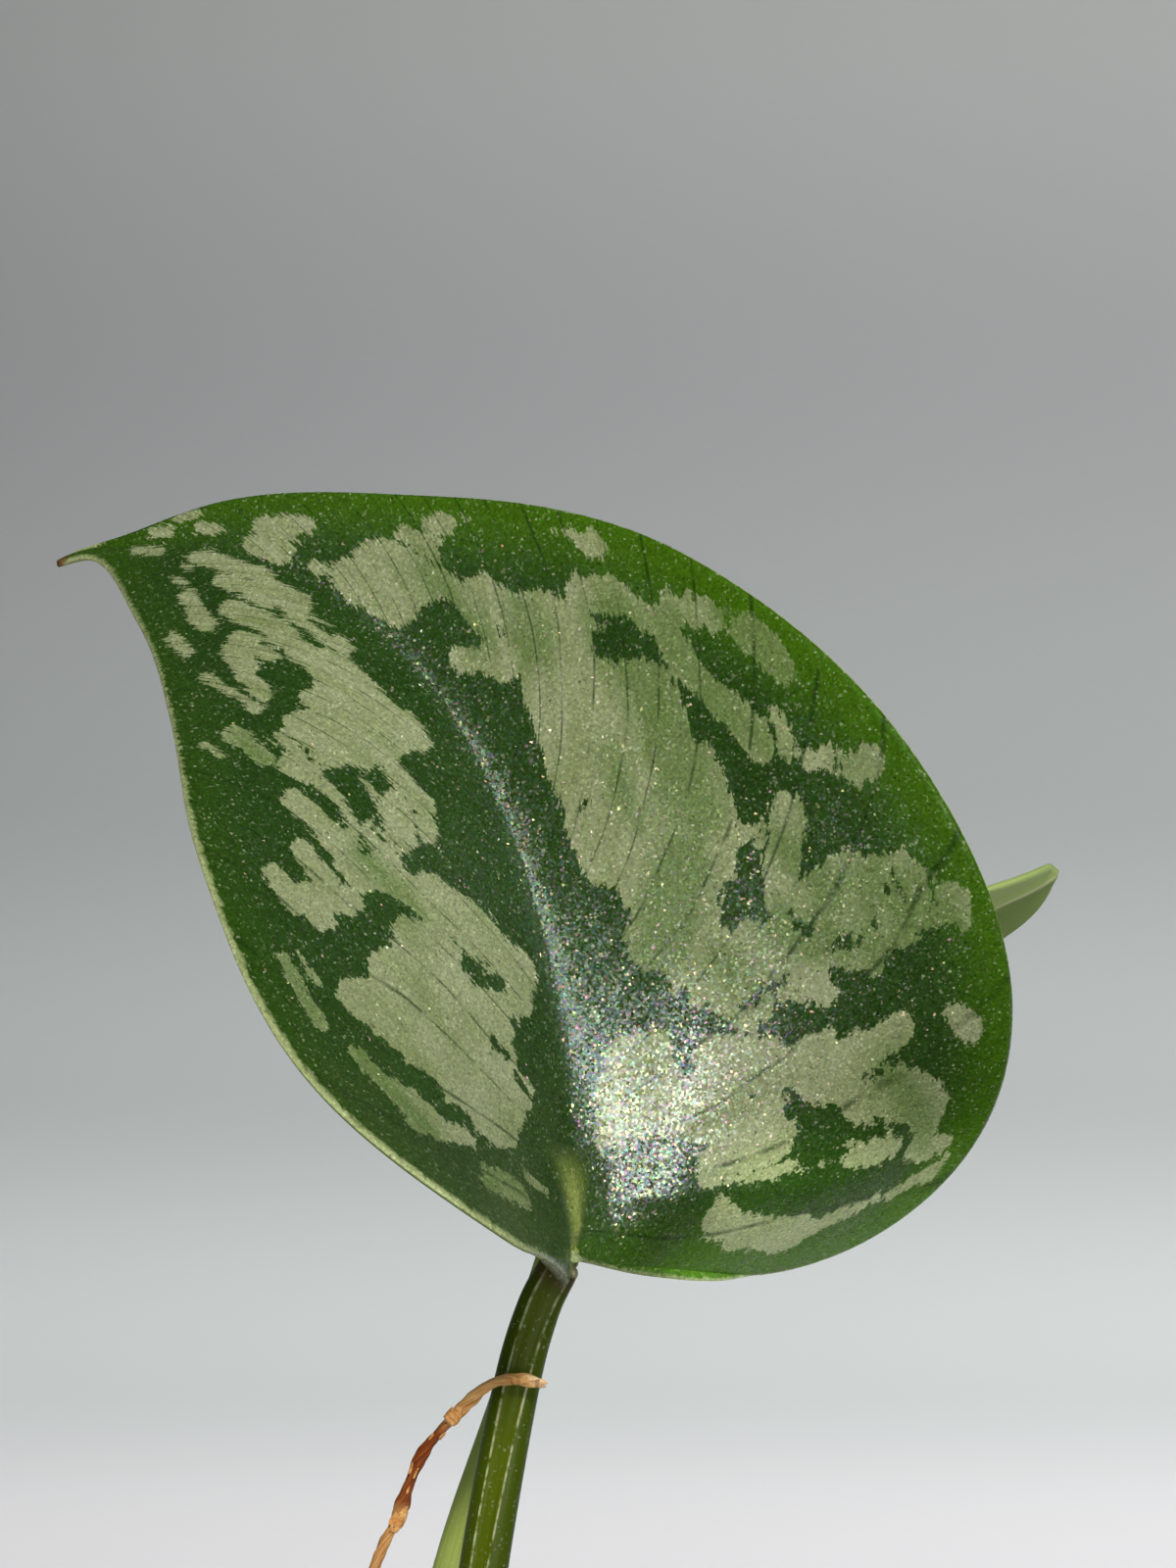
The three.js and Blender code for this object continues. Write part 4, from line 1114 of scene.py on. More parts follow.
def stalkTree():
    tree = newTree("stalkAlongPath", {
        "Sides": "Int", "Channel depth": "Float", "Channel width": "Float", "Ridge height": "Float",
        "Ridge width": "Float", "Material": "Material"})
    given = add(tree, "NodeGroupInput")
    curve = add(tree, "GeometryNodeMeshToCurve", {"Mesh": given.outputs["Geometry"]})
    facing = add(tree, "GeometryNodeInputNamedAttribute", {"Name": "facing"}, data_type="FLOAT_VECTOR")
    girth = add(tree, "GeometryNodeInputNamedAttribute", {"Name": "girth"}, data_type="FLOAT")
    curve = add(tree, "GeometryNodeSetCurveNormal", {"Curve": curve, "Normal": facing}, mode="FREE")
    curve = add(tree, "GeometryNodeStoreNamedAttribute", {
        "Geometry": curve, "Name": "core", "Value": add(tree, "GeometryNodeInputPosition")},
        data_type="FLOAT_VECTOR", domain="POINT")
    ring = add(tree, "GeometryNodeCurvePrimitiveCircle", {
        "Resolution": given.outputs["Sides"], "Radius": 1.0})
    spot = add(tree, "ShaderNodeSeparateXYZ", {"Vector": add(tree, "GeometryNodeInputPosition")})
    angle = maths(tree, "ARCTAN2", spot.outputs["Y"], spot.outputs["X"])
    ring = add(tree, "GeometryNodeStoreNamedAttribute", {
        "Geometry": ring.outputs["Curve"], "Name": "around", "Value": angle},
        data_type="FLOAT", domain="POINT")
    tube = add(tree, "GeometryNodeCurveToMesh", {
        "Curve": curve, "Profile Curve": ring, "Scale": girth, "Fill Caps": True})
    around = add(tree, "GeometryNodeInputNamedAttribute", {"Name": "around"}, data_type="FLOAT")
    grooved = add(tree, "GeometryNodeInputNamedAttribute", {"Name": "grooved"}, data_type="FLOAT")
    core = add(tree, "GeometryNodeInputNamedAttribute", {"Name": "core"}, data_type="FLOAT_VECTOR")
    spread = add(tree, "GeometryNodeInputNamedAttribute", {"Name": "spread"}, data_type="FLOAT")
    side = maths(tree, "ABSOLUTE", around.outputs["Attribute"])
    side = maths(tree, "DIVIDE", side, spread.outputs["Attribute"])
    near = maths(tree, "DIVIDE", side, given.outputs["Channel width"])
    near = maths(tree, "POWER", near, 4.0)
    near = maths(tree, "MULTIPLY", near, -1.0)
    near = maths(tree, "EXPONENT", near)
    sunk = maths(tree, "MULTIPLY", near, given.outputs["Channel depth"])
    crest = maths(tree, "SUBTRACT", side, given.outputs["Channel width"])
    crest = maths(tree, "DIVIDE", crest, given.outputs["Ridge width"])
    crest = maths(tree, "MULTIPLY", crest, crest)
    crest = maths(tree, "MULTIPLY", crest, -1.0)
    crest = maths(tree, "EXPONENT", crest)
    form = maths(tree, "MULTIPLY", crest, given.outputs["Ridge height"])
    form = maths(tree, "SUBTRACT", form, sunk)
    form = maths(tree, "MULTIPLY", form, grooved.outputs["Attribute"])
    spoke = vectorMaths(tree, "SUBTRACT", add(tree, "GeometryNodeInputPosition"),
        core.outputs["Attribute"])
    shift = scaled(tree, spoke, form)
    tube = add(tree, "GeometryNodeSetPosition", {"Geometry": tube, "Offset": shift})
    tube = add(tree, "GeometryNodeSetShadeSmooth", {"Geometry": tube})
    tube = add(tree, "GeometryNodeRealizeInstances", {"Geometry": tube})
    tube = add(tree, "GeometryNodeSetMaterial", {"Geometry": tube, "Material": given.outputs["Material"]})
    add(tree, "NodeGroupOutput", {"Geometry": tube})
    return tree


def stalkMesh(name, bars, tree, material, sides):
    # bars: paths with their girth, facing, share of groove and kind (0 a stem, 1 a petiole, 2 the young one)
    points, edges = [], []
    columns = {key: [] for key in ("girth", "facing", "grooved", "spread", "along", "kind", "nodeNear")}
    for bar in bars:
        start = len(points)
        points += list(bar["points"])
        edges += [(i, i + 1) for i in range(start, len(points) - 1)]
        for key in columns:
            columns[key] += list(bar[key])
    mesh = bpy.data.meshes.new(name + "Paths")
    mesh.from_pydata([np.asarray(p) * mm for p in points], edges, [])
    columns["girth"] = np.array(columns["girth"]) * mm
    storeAttributes(mesh, columns)
    holder = plainObject(name + "Paths", mesh)
    made = grown(tree, holder, {**channel, "Sides": sides, "Material": material})
    bpy.data.objects.remove(holder)
    made.name = name
    for spare in ("core", "facing", "girth"):
        if spare in made.attributes:
            made.attributes.remove(made.attributes[spare])
    return plainObject(name, made)


def stemBar(shoot):
    count = stem["steps"]
    shares = np.linspace(0, 1, count)
    points, ways, length = evenly(stemPoints(shoot), shares)
    heights = [stem["lowestNode"], *[spec[1] for spec in shoot["leaves"]], 1]
    nodes = np.array([stemShare(shoot, share) for share in heights])
    past = (shares[:, None] - nodes) * length
    near = np.exp(-((past / stem["nodeLength"]) ** 2)).max(1)
    scar = np.exp(-(((past + stem["scarBelow"]) / stem["scarLength"]) ** 2)).max(1)
    girth = stem["radius"] * (1 + stem["nodeSwelling"] * near + stem["scarSwelling"] * scar)
    girth *= np.where(shares > 0.985, np.sqrt(np.clip((1.003 - shares) / 0.018, 0.02, 1)), 1)  # rounded top
    return {"points": points, "girth": girth, "facing": squareTo(np.array([1.0, 0, 0]) + 0 * ways, ways),
            "grooved": np.zeros(count), "spread": np.ones(count), "along": shares * length,
            "kind": np.zeros(count), "nodeNear": scar}


def petioleBar(route, reference, kind, twist=(0, 0, 0), spread=(1, 1, 1), scale=1):
    count = petiole["steps"]
    shares = np.linspace(0, 1, count)
    points, ways, length = evenly(route, shares)
    foot = (petiole["footRadius"] - petiole["radius"]) * (1 - shares) ** 2
    neck = (petiole["neckRadius"] - petiole["radius"]) * shares ** 6
    first = squareTo(np.array(reference, float) + 0 * ways, ways)
    second = np.cross(ways, first)
    angle = np.radians(through(twist, shares))[:, None]
    girth = (petiole["radius"] + foot + neck) * (1 + (scale - 1) * ease(shares, 0.2, 0.5))
    return {"points": points, "girth": girth, "facing": first * np.cos(angle) + second * np.sin(angle),
            "grooved": 0.25 + 0.75 * np.clip(shares * 4, 0, 1), "spread": through(spread, shares),
            "along": shares * length, "kind": np.full(count, kind),
            "nodeNear": 0.85 * np.exp(-((1 - shares) * length / 1.3) ** 2)}


# Stems and petioles: smooth, waxy and faintly striped along, with paler ridges beside the channel
stalkSkin = {
    "green": "#56690c",
    "dark": "#4f6208",
    "flank": "#43570a",
    "ridge": "#c0c89c",
    "young": "#a5ba66",
    "youngDark": "#96ae59",
    "stem": "#455f22",
    "scar": "#4a3a22",
    "waxDot": "#e6ead8",
    "roughness": 0.34,
}


def stalkMaterial():
    s = stalkSkin
    material = newMaterial("waxyGreenStalk")
    tree = material.node_tree
    around = attribute(tree, "around")
    along = attribute(tree, "along")
    kind = attribute(tree, "kind")
    scar = attribute(tree, "nodeNear")
    grooved = attribute(tree, "grooved")
    spread = attribute(tree, "spread")
    solid = add(tree, "ShaderNodeTexCoord").outputs["Object"]
    side = maths(tree, "ABSOLUTE", around)
    stripes = noise(tree, add(tree, "ShaderNodeCombineXYZ", {"X": side, "Y": maths(tree, "MULTIPLY",
        along, 0.03)}), 7.0, 4, 0.6)
    striped = remap(tree, stripes, (0.35, 0.65))
    inside = blend(tree, striped, linear(s["dark"]), linear(s["green"]))
    lip = maths(tree, "DIVIDE", side, spread)
    crest = maths(tree, "SUBTRACT", lip, channel["Channel width"])
    outside = remap(tree, crest, (0, 0.12), (0, 0.85))
    outside = maths(tree, "MULTIPLY", outside, grooved)
    tone = blend(tree, outside, inside, linear(s["flank"]))
    isPetiole = remap(tree, kind, (0, 0.5))
    isYoung = remap(tree, kind, (1.4, 1.6))
    woody = blend(tree, striped, linear(s["flank"]), linear(s["stem"]))
    tone = blend(tree, isPetiole, woody, tone)
    fresh = blend(tree, striped, linear(s["youngDark"]), linear(s["young"]))
    tone = blend(tree, isYoung, tone, fresh)
    line = maths(tree, "ABSOLUTE", crest)
    line = remap(tree, line, (0.025, 0.085), (0.95, 0))
    line = maths(tree, "MULTIPLY", line, grooved)
    wear = noise(tree, solid, 1 / (0.9 * mm), 3)
    worn = remap(tree, wear, (0.36, 0.56))
    line = maths(tree, "MULTIPLY", line, worn)
    tone = blend(tree, line, tone, linear(s["ridge"]))
    tone = blend(tree, scar, tone, linear(s["scar"]))
    # fine pale dots of wax
    cells = add(tree, "ShaderNodeTexVoronoi", {"Vector": solid, "Scale": 1 / (0.2 * mm)})
    dot = add(tree, "ShaderNodeSeparateColor", {"Color": cells.outputs["Color"]})
    dot = maths(tree, "POWER", dot.outputs[0], 34.0)
    dot = maths(tree, "MULTIPLY", dot, 0.2)
    tone = blend(tree, dot, tone, linear(s["waxDot"]))
    bump = bumped(tree, stripes, 0.25, 0.0002)
    shader = add(tree, "ShaderNodeBsdfPrincipled", {
        "Base Color": tone, "Roughness": s["roughness"], "Specular IOR Level": 0.04, "Normal": bump})
    add(tree, "ShaderNodeOutputMaterial", {"Surface": shader})
    return material


stalkSkinMaterial = stalkMaterial()
tubeTree = stalkTree()
leaves = []
for shoot in shoots:
    bars = [stemBar(shoot)]
    for index, spec in enumerate(shoot["leaves"]):
        leaf = archedLeaf(shoot, spec, index)
        leaves.append(leaf)
        bars.append(petioleBar(petioleRoute(leaf), up, 1))
    if shoot["name"] == "crown_stem":
        for route, leaf in ((crownPetiole, crownLeaf), (rearPetiole, rearLeaf)):
            root = evenly(stemPoints(shoot), np.array([route["from"]]))[0][0]
            bars.append(petioleBar([root, *route["path"], petioleEnd(leaf)], (0, -1, 0), route["kind"],
                                   route["twist"], route["spread"], route["girth"]))
    piece = stalkMesh(shoot["name"] + "_waxy", bars, tubeTree, stalkSkinMaterial, petiole["sides"])
    place(piece, shoot["name"])
print("stems and petioles are in place")


# Blades

crownBlade = makeBlade(crownLeaf, [skin, underside], crownMarkings, crownRelief, dripTip)
place(crownBlade, "crown_leaf_blade")
for leaf in leaves:
    place(makeBlade(leaf, [skin, underside], strewnMarkings), leaf["name"])

# the edge of the crown leaf's left lobe is rolled, and ends in a blunt knob over the petiole
rolledEdge = {
    "reach": 15,
    "end": (9.0, -1.7, 164.9),
    "girth": (0.2, 0.36, 0.5),
    "steps": 90,
    "sides": 16,
    "dark": "#434a2c",
    "pale": "#767c5c",
    "roughness": 0.42,
}


def makeRolledEdge(material):
    r = rolledEdge
    rim = crownLeaf["rim"]
    far = np.concatenate([[0], np.cumsum(np.linalg.norm(np.diff(rim, axis=0), axis=1))])
    line = [*rim[far < r["reach"]][::-4], rim[0], np.array(r["end"], float)]
    shares = np.linspace(0, 1, r["steps"])
    none = 0 * shares
    points, ways, length = evenly(line, shares)
    girth = through(r["girth"], shares) * np.sqrt(np.clip((1.002 - shares) * length / 0.5, 0.02, 1))
    bar = {"points": points, "girth": girth, "facing": squareTo(np.array([0, -1.0, 0]) + 0 * ways, ways),
           "grooved": none, "spread": none + 1, "along": shares * length, "kind": none, "nodeNear": none}
    piece = stalkMesh("crown_leaf_rolled_edge", [bar], tubeTree, material, r["sides"])
    place(piece, "crown_leaf_blade")


def rolledEdgeMaterial():
    # the blade's rim, thick, waxy and greyish, dried a little brown
    material = newMaterial("rolledLeafRim")
    tree = material.node_tree
    solid = add(tree, "ShaderNodeTexCoord").outputs["Object"]
    drift = noise(tree, solid, 1 / (1.5 * mm), 4, 0.6)
    toned = remap(tree, drift, (0.35, 0.62))
    tone = blend(tree, toned, linear(rolledEdge["dark"]), linear(rolledEdge["pale"]))
    bump = bumped(tree, drift, 0.4, 0.0002)
    shader = add(tree, "ShaderNodeBsdfPrincipled", {
        "Base Color": tone, "Roughness": rolledEdge["roughness"], "Specular IOR Level": 0.06,
        "Normal": bump})
    add(tree, "ShaderNodeOutputMaterial", {"Surface": shader})
    return material


makeRolledEdge(rolledEdgeMaterial())


# Young leaf: thin, yellow-green and still soft, its silver only a faint bloom
youngSkin = {
    "light": "#a6c074",
    "dark": "#94ae62",
    # painted shade for one half of the blade
    "shade": "#748c49",
    "rib": "#c3ce9c",
    "roughness": 0.45,
}


def youngSkinMaterial():
    s = youngSkin
    material = newMaterial("youngLeafSkin")
    tree = material.node_tree
    spot = attribute(tree, "leafPlace", "Vector")
    flat = add(tree, "ShaderNodeSeparateXYZ", {"Vector": spot})
    cloud = noise(tree, spot, 0.5, 4, 0.6)
    tone = blend(tree, cloud, linear(s["dark"]), linear(s["light"]))
    # painted shade: one half of the blade, turned away from the light, is painted darker
    paintedShadeHalf = remap(tree, flat.outputs["X"], (0.2, -0.6))
    tone = blend(tree, paintedShadeHalf, tone, linear(s["shade"]))
    side = maths(tree, "ABSOLUTE", flat.outputs["X"])
    rib = remap(tree, side, (0.12, 0.4), (0.85, 0))
    tone = blend(tree, rib, tone, linear(s["rib"]))
    grain = noise(tree, add(tree, "ShaderNodeTexCoord").outputs["Object"], 1 / (0.3 * mm))
    bump = bumped(tree, grain, 0.3, 0.0001)
    shader = add(tree, "ShaderNodeBsdfPrincipled", {
        "Base Color": tone, "Roughness": s["roughness"], "Specular IOR Level": 0.12, "Normal": bump})
    add(tree, "ShaderNodeOutputMaterial", {"Surface": shader})
    return material


young = youngSkinMaterial()
place(makeBlade(rearLeaf, [young, young], noMarkings), "rear_leaf_blade")
print("leaves are in place")


# Dry remnant of a bud sheath, across the front of the crown petiole: a twisted fibre with torn flakes

strand = {
    "stemShare": 0.82,
    "side": (-0.8, -0.6, 0),
    "path": [
        (-9.5, 0.5, 119), (-10.4, -0.8, 130), (-7.3, -1.2, 141.4), (-5.5, -1.2, 145.4), (-3.5, -1.2, 150.5),
        (-0.6, -1.2, 153.9), (2, -1.3, 156.2), (4.1, -1.4, 156.7), (6.2, -1.4, 156.4)],
    "gap": 0.35,
    "radius": 0.5,
    "knots": (0.42, 0.72),
    "knotLength": 0.02,
    "knotSwelling": 0.3,
    "unevenness": 0.2,
    "groove": 1.6,
    "sides": 20,
    "steps": 420,
    "twist": 0.6,  # radians a mm
    # how brown it is at these shares of its length; below 0 it is torn and pale
    "brown": [
        (0, 0.3), (0.3, 0.6), (0.66, 0.3), (0.7, 0.1), (0.73, 0.95),
        (0.83, 1), (0.87, 0.3), (0.92, 0.05), (0.98, 0), (1, -0.8)],
}
flakes = [
    {"at": 0.862, "over": 0.006, "count": 4, "length": 1.7, "width": 0.9, "lift": 0.5},
    {"at": 0.695, "over": 0.008, "count": 4, "length": 1.8, "width": 0.9, "lift": 0.5},
    {"at": 0.97, "over": 0.012, "count": 6, "length": 1.2, "width": 0.5, "lift": 0.3},
    {"at": 0.998, "over": 0.002, "count": 12, "length": 0.7, "width": 0.34, "lift": -0.12},
    {"at": 0.8, "over": 0.06, "count": 7, "length": 0.9, "width": 0.3, "lift": 0.22},
    {"at": 0.3, "over": 0.25, "count": 9, "length": 1.5, "width": 0.5, "lift": 0.35},
]


husk = {
    "thin": ("#dd8c38", "#ffdc9a"),
    "thick": ("#561f08", "#a8561a"),
    "tornEnd": "#f6e6c6",
    "roughness": 0.75,
}


def dryHuskMaterial():
    # dry plant fibre: papery, tan where it is thin, red-brown where it is thick, streaked along
    material = newMaterial("dryHuskFibre")
    tree = material.node_tree
    along = attribute(tree, "along")
    around = attribute(tree, "around")
    browned = attribute(tree, "nodeNear")
    streak = noise(tree, add(tree, "ShaderNodeCombineXYZ", {"X": around, "Y": maths(tree, "MULTIPLY",
        along, 0.12)}), 3.0, 5, 0.7)
    streaked = remap(tree, streak, (0.35, 0.65))
    pale = blend(tree, streaked, linear(husk["thin"][0]), linear(husk["thin"][1]))
    dark = blend(tree, streaked, linear(husk["thick"][0]), linear(husk["thick"][1]))
    tone = blend(tree, browned, pale, dark)
    torn = remap(tree, browned, (-1, 0), (1, 0))
    tone = blend(tree, torn, tone, linear(husk["tornEnd"]))
    bump = bumped(tree, streak, 0.8, 0.0003)
    shader = add(tree, "ShaderNodeBsdfPrincipled", {
        "Base Color": tone, "Roughness": husk["roughness"], "Specular IOR Level": 0.05, "Normal": bump})
    add(tree, "ShaderNodeOutputMaterial", {"Surface": shader})
    return material


def makeStrand():
    count = strand["steps"]
    shoot = shoots[0]
    reach = stem["radius"] * (1 + stem["nodeSwelling"]) + strand["gap"] + strand["radius"]
    root = evenly(stemPoints(shoot), np.array([stemShare(shoot, strand["stemShare"])]))[0][0]
    root = root + np.array(strand["side"]) * reach
    shares = np.linspace(0, 1, count)
    points, ways, length = evenly([root, *strand["path"]], shares)
    knots = sum(np.exp(-(((shares - k) / strand["knotLength"]) ** 2)) for k in strand["knots"])
    far, none = shares * length, shares * 0
    wobble = smoothNoise(far, none, 5, 5) + 0.5 * smoothNoise(far, none, 8, 1.3)
    girth = strand["radius"] * (0.96 + strand["knotSwelling"] * knots + strand["unevenness"] * wobble)
    girth *= np.where(shares > 0.985, 0.5 + 0.5 * (1 - shares) / 0.015, 1)
    first = squareTo(np.array([0, -1.0, 0]) + 0 * ways, ways)
    second = np.cross(ways, first)
    angle = (shares * length * strand["twist"])[:, None]
    brown = np.interp(shares, *zip(*strand["brown"]))
    bar = {"points": points, "girth": girth, "facing": first * np.cos(angle) + second * np.sin(angle),
           "grooved": np.ones(count) * strand["groove"], "spread": np.ones(count), "along": shares * length,
           "kind": np.zeros(count), "nodeNear": brown}
    piece = stalkMesh("dry_sheath_strand_fibre", [bar], tubeTree, dryHusk, strand["sides"])
    place(piece, "dry_sheath_strand")
    place(makeFlakes(points, ways), "dry_sheath_strand")


def makeFlakes(points, ways):
    # papery scraps that curl off the fibre, and the fibres of its torn end: small tapered leaves of husk
    chance = random.Random(4)
    verts, faces, along, brown = [], [], [], []
    scraps = [(f["at"] + chance.uniform(-1, 1) * f["over"], f["length"] * chance.uniform(0.6, 1.1),
               f["width"] * chance.uniform(0.6, 1.1), f["lift"] * chance.uniform(0.5, 1.2))
              for f in flakes for _ in range(f["count"])]
    for share, long, wide, lift in scraps:
        k = int(np.clip(share, 0, 1) * (len(points) - 1))
        way = ways[k]
        side = squareTo(np.array([chance.uniform(-1, 1), -1.0, chance.uniform(-0.6, 0.8)]), way)
        across = np.cross(way, side)
        rows, base = 7, len(verts)
        tornEnd = share >= 0.98
        for i in range(rows):
            t = i / (rows - 1)
            spine = points[k] + side * (strand["radius"] * 0.95 + lift * t * t) + way * long * (t - 0.15)
            half = wide * 0.5 * math.sin(math.pi * (0.18 + 0.78 * t)) ** 0.7
            for j, w in enumerate((-1, -0.4, 0.4, 1)):
                cup = 0.3 * wide * w * w
                for depth in (0.035, -0.035):
                    verts.append(spine + across * half * w + side * (cup * (1 - 1.6 * t) + depth)
                                 + way * chance.uniform(-0.06, 0.06))
                    along.append(share * 60 + t)
                    brown.append(-0.9 * chance.random() if tornEnd else 0.35 * chance.random() * (1 - t))
        at = lambda i, j, d: base + (i * 4 + j) * 2 + d
        for i in range(rows - 1):
            for j in range(3):
                faces.append((at(i, j, 0), at(i, j + 1, 0), at(i + 1, j + 1, 0), at(i + 1, j, 0)))
                faces.append((at(i, j, 1), at(i + 1, j, 1), at(i + 1, j + 1, 1), at(i, j + 1, 1)))
            faces.append((at(i, 0, 0), at(i + 1, 0, 0), at(i + 1, 0, 1), at(i, 0, 1)))
            faces.append((at(i, 3, 0), at(i, 3, 1), at(i + 1, 3, 1), at(i + 1, 3, 0)))
        for j in range(3):
            faces.append((at(0, j, 0), at(0, j, 1), at(0, j + 1, 1), at(0, j + 1, 0)))
            faces.append((at(rows - 1, j, 0), at(rows - 1, j + 1, 0),
                          at(rows - 1, j + 1, 1), at(rows - 1, j, 1)))
    values = np.array(along)
    piece = meshObject("dry_sheath_strand_flakes", verts, [faces], [dryHusk], {
        "along": values, "around": values * 0.7 % 3, "nodeNear": np.array(brown)})
    outward(piece)
    return piece


def outward(piece):
    shell = bmesh.new()
    shell.from_mesh(piece.data)
    bmesh.ops.recalc_face_normals(shell, faces=shell.faces)
    shell.to_mesh(piece.data)
    shell.free()


dryHusk = dryHuskMaterial()
makeStrand()
print("dry strand is in place")


# Pot: thrown-look clay pot with a rim band, matte and dusty, lime-bloomed below

pot = {
    "height": 85,
    "rimRadius": 52.5,
    "rimHeight": 20,
    "rimStep": 3,
    "rimWidth": 6.5,
    "baseRadius": 36,
    "wall": 5,
    "floor": 6,
    "edge": 1.2,
    "drainRadius": 4,
    "drainOffset": 17,
    "drains": 3,
    "drainSides": 40,
    "drillPast": 5,
    "segments": 160,
    "wave": 0.12,
}


def roundedProfile(corners, radius, steps=5):
    # the profile's points with each inner corner rounded
    made = [corners[0]]
    for before, here, after in zip(corners[:-2], corners[1:-1], corners[2:]):
        here, before, after = (np.array(p, float) for p in (here, before, after))
        back, ahead = before - here, after - here
        reach = min(radius, 0.45 * np.linalg.norm(back), 0.45 * np.linalg.norm(ahead))
        a, b = here + unit(back) * reach, here + unit(ahead) * reach
        for t in np.linspace(0, 1, steps):
            made.append(tuple((1 - t) ** 2 * a + 2 * t * (1 - t) * here + t ** 2 * b))
    made.append(corners[-1])
    return made


def potInside(z):
    bottom, top = pot["baseRadius"] - pot["wall"], pot["rimRadius"] - pot["rimWidth"]
    return bottom + (top - bottom) * (z - pot["floor"]) / (pot["height"] - pot["edge"] - pot["floor"])


def makePot(material):
    rimBottom = pot["height"] - pot["rimHeight"]
    neck = pot["rimRadius"] - pot["rimStep"]
    innerTop = pot["rimRadius"] - pot["rimWidth"]
    corners = [
        (0, 0), (pot["baseRadius"], 0), (neck, rimBottom), (pot["rimRadius"] - pot["edge"] / 2, rimBottom),
        (pot["rimRadius"], pot["height"]), (innerTop, pot["height"]),
        (pot["baseRadius"] - pot["wall"], pot["floor"]), (0, pot["floor"])]
    line = []
    profile = roundedProfile(corners, pot["edge"])
    for a, b in zip(profile[:-1], profile[1:]):  # short steps, so that the wall can waver
        steps = max(1, int(math.dist(a, b) / 2))
        line += [(a[0] + (b[0] - a[0]) * i / steps, a[1] + (b[1] - a[1]) * i / steps) for i in range(steps)]
    line = np.array(line[1:] + [profile[-1]])
    line = line[line[:, 0] > 1e-6]
    count = pot["segments"]
    turn = np.arange(count) * math.tau / count
    radius, z = line[:, :1], line[:, 1:]
    calm = np.clip(z / 6, 0, 1)  # the foot stays true
    wave = pot["wave"] * calm * (np.sin(z * 0.55 + 0.8 * np.sin(turn)) + 0.6 * np.sin(z * 1.7 + turn))
    radius = radius + wave * 0.5
    points = np.stack([radius * np.cos(turn), radius * np.sin(turn), z + 0 * turn], -1).reshape(-1, 3)
    rows = len(line)
    faces = ringQuads(rows - 1, count)[:, [0, 3, 2, 1]]  # the profile runs from the outside in
    ends = len(points)
    points = np.vstack([points, [(0, 0, 0), (0, 0, pot["floor"])]])
    ring = np.arange(count)
    after = (ring + 1) % count
    low = np.stack([np.full(count, ends), after, ring], -1)
    high = np.stack([np.full(count, ends + 1), (rows - 1) * count + ring, (rows - 1) * count + after], -1)
    piece = meshObject("pot_clay", points, [faces, low, high], [material])
    sides = pot["drainSides"]
    for n in range(pot["drains"]):
        angle = math.tau * n / pot["drains"]
        middle = pot["drainOffset"] * math.cos(angle), pot["drainOffset"] * math.sin(angle)
        ringPoints = []
        for z in (-pot["drillPast"], pot["floor"] + pot["drillPast"]):
            for a in math.tau * np.arange(sides) / sides:
                x, y = (pot["drainRadius"] * turned for turned in (math.cos(a), math.sin(a)))
                ringPoints.append((middle[0] + x, middle[1] + y, z))
        walls = [(i, (i + 1) % sides, sides + (i + 1) % sides, sides + i) for i in range(sides)]
        caps = [[tuple(range(sides - 1, -1, -1))], [tuple(range(sides, 2 * sides))]]
        drill = meshObject("drill", ringPoints, [walls, *caps], [material])
        cut = piece.modifiers.new("drain", "BOOLEAN")
        cut.object, cut.operation, cut.solver = drill, "DIFFERENCE", "EXACT"
        depsgraph = bpy.context.evaluated_depsgraph_get()
        mesh = bpy.data.meshes.new_from_object(piece.evaluated_get(depsgraph))
        piece.modifiers.clear()
        piece.data = mesh
        bpy.data.objects.remove(drill)
    return place(piece, "pot")


terracotta = {
    "clay": "#b9694a",
    "burnt": "#9c5238",
    "dust": "#cf9a7d",
    "bloom": "#e0cfbb",
    "grain": 0.35,
    "roughness": 0.88,
}


def terracottaMaterial():
    # unglazed earthenware: dry and porous, wiped smooth on the wheel, fine grog in it
    s = terracotta
    material = newMaterial("unglazedTerracotta")
    tree = material.node_tree
    solid = add(tree, "ShaderNodeTexCoord").outputs["Object"]
    parts = add(tree, "ShaderNodeSeparateXYZ", {"Vector": solid})
    wiped = add(tree, "ShaderNodeMapping", {"Vector": solid, "Scale": (60, 60, 900)})
    wipes = noise(tree, wiped, 1.0, 4, 0.6)
    patch = noise(tree, solid, 1 / (22 * mm), 5, 0.6)
    grain = noise(tree, solid, 1 / (s["grain"] * 2 * mm), 3, 0.7)
    patches = remap(tree, patch, (0.35, 0.65))
    clay = blend(tree, patches, linear(s["burnt"]), linear(s["clay"]))
    dusty = remap(tree, wipes, (0.45, 0.75), (0, 0.5))
    clay = blend(tree, dusty, clay, linear(s["dust"]))
    # lime bloom in a ragged band under the rim and on the foot
    tide = maths(tree, "MULTIPLY_ADD", patch, 40 * mm, parts.outputs["Z"])
    under = remap(tree, tide, (66 * mm, 82 * mm), (0, 0.5))
    below = remap(tree, tide, (22 * mm, 40 * mm), (0.55, 0))
    speck = noise(tree, solid, 1 / (3 * mm), 6, 0.75)
    specked = remap(tree, speck, (0.45, 0.7))
    bloom = maths(tree, "MAXIMUM", under, below)
    bloom = maths(tree, "MULTIPLY", bloom, specked)
    clay = blend(tree, bloom, clay, linear(s["bloom"]))
    height = maths(tree, "MULTIPLY_ADD", wipes, 0.6, grain)
    bump = bumped(tree, height, 0.5, 0.00025)
    shader = add(tree, "ShaderNodeBsdfPrincipled", {
        "Base Color": clay, "Roughness": s["roughness"], "Specular IOR Level": 0.25, "Normal": bump})
    add(tree, "ShaderNodeOutputMaterial", {"Surface": shader})
    return material


makePot(terracottaMaterial())
print("pot is in place")


# Potting mix: peat crumbs, bark chips and white perlite over a lumpy bed

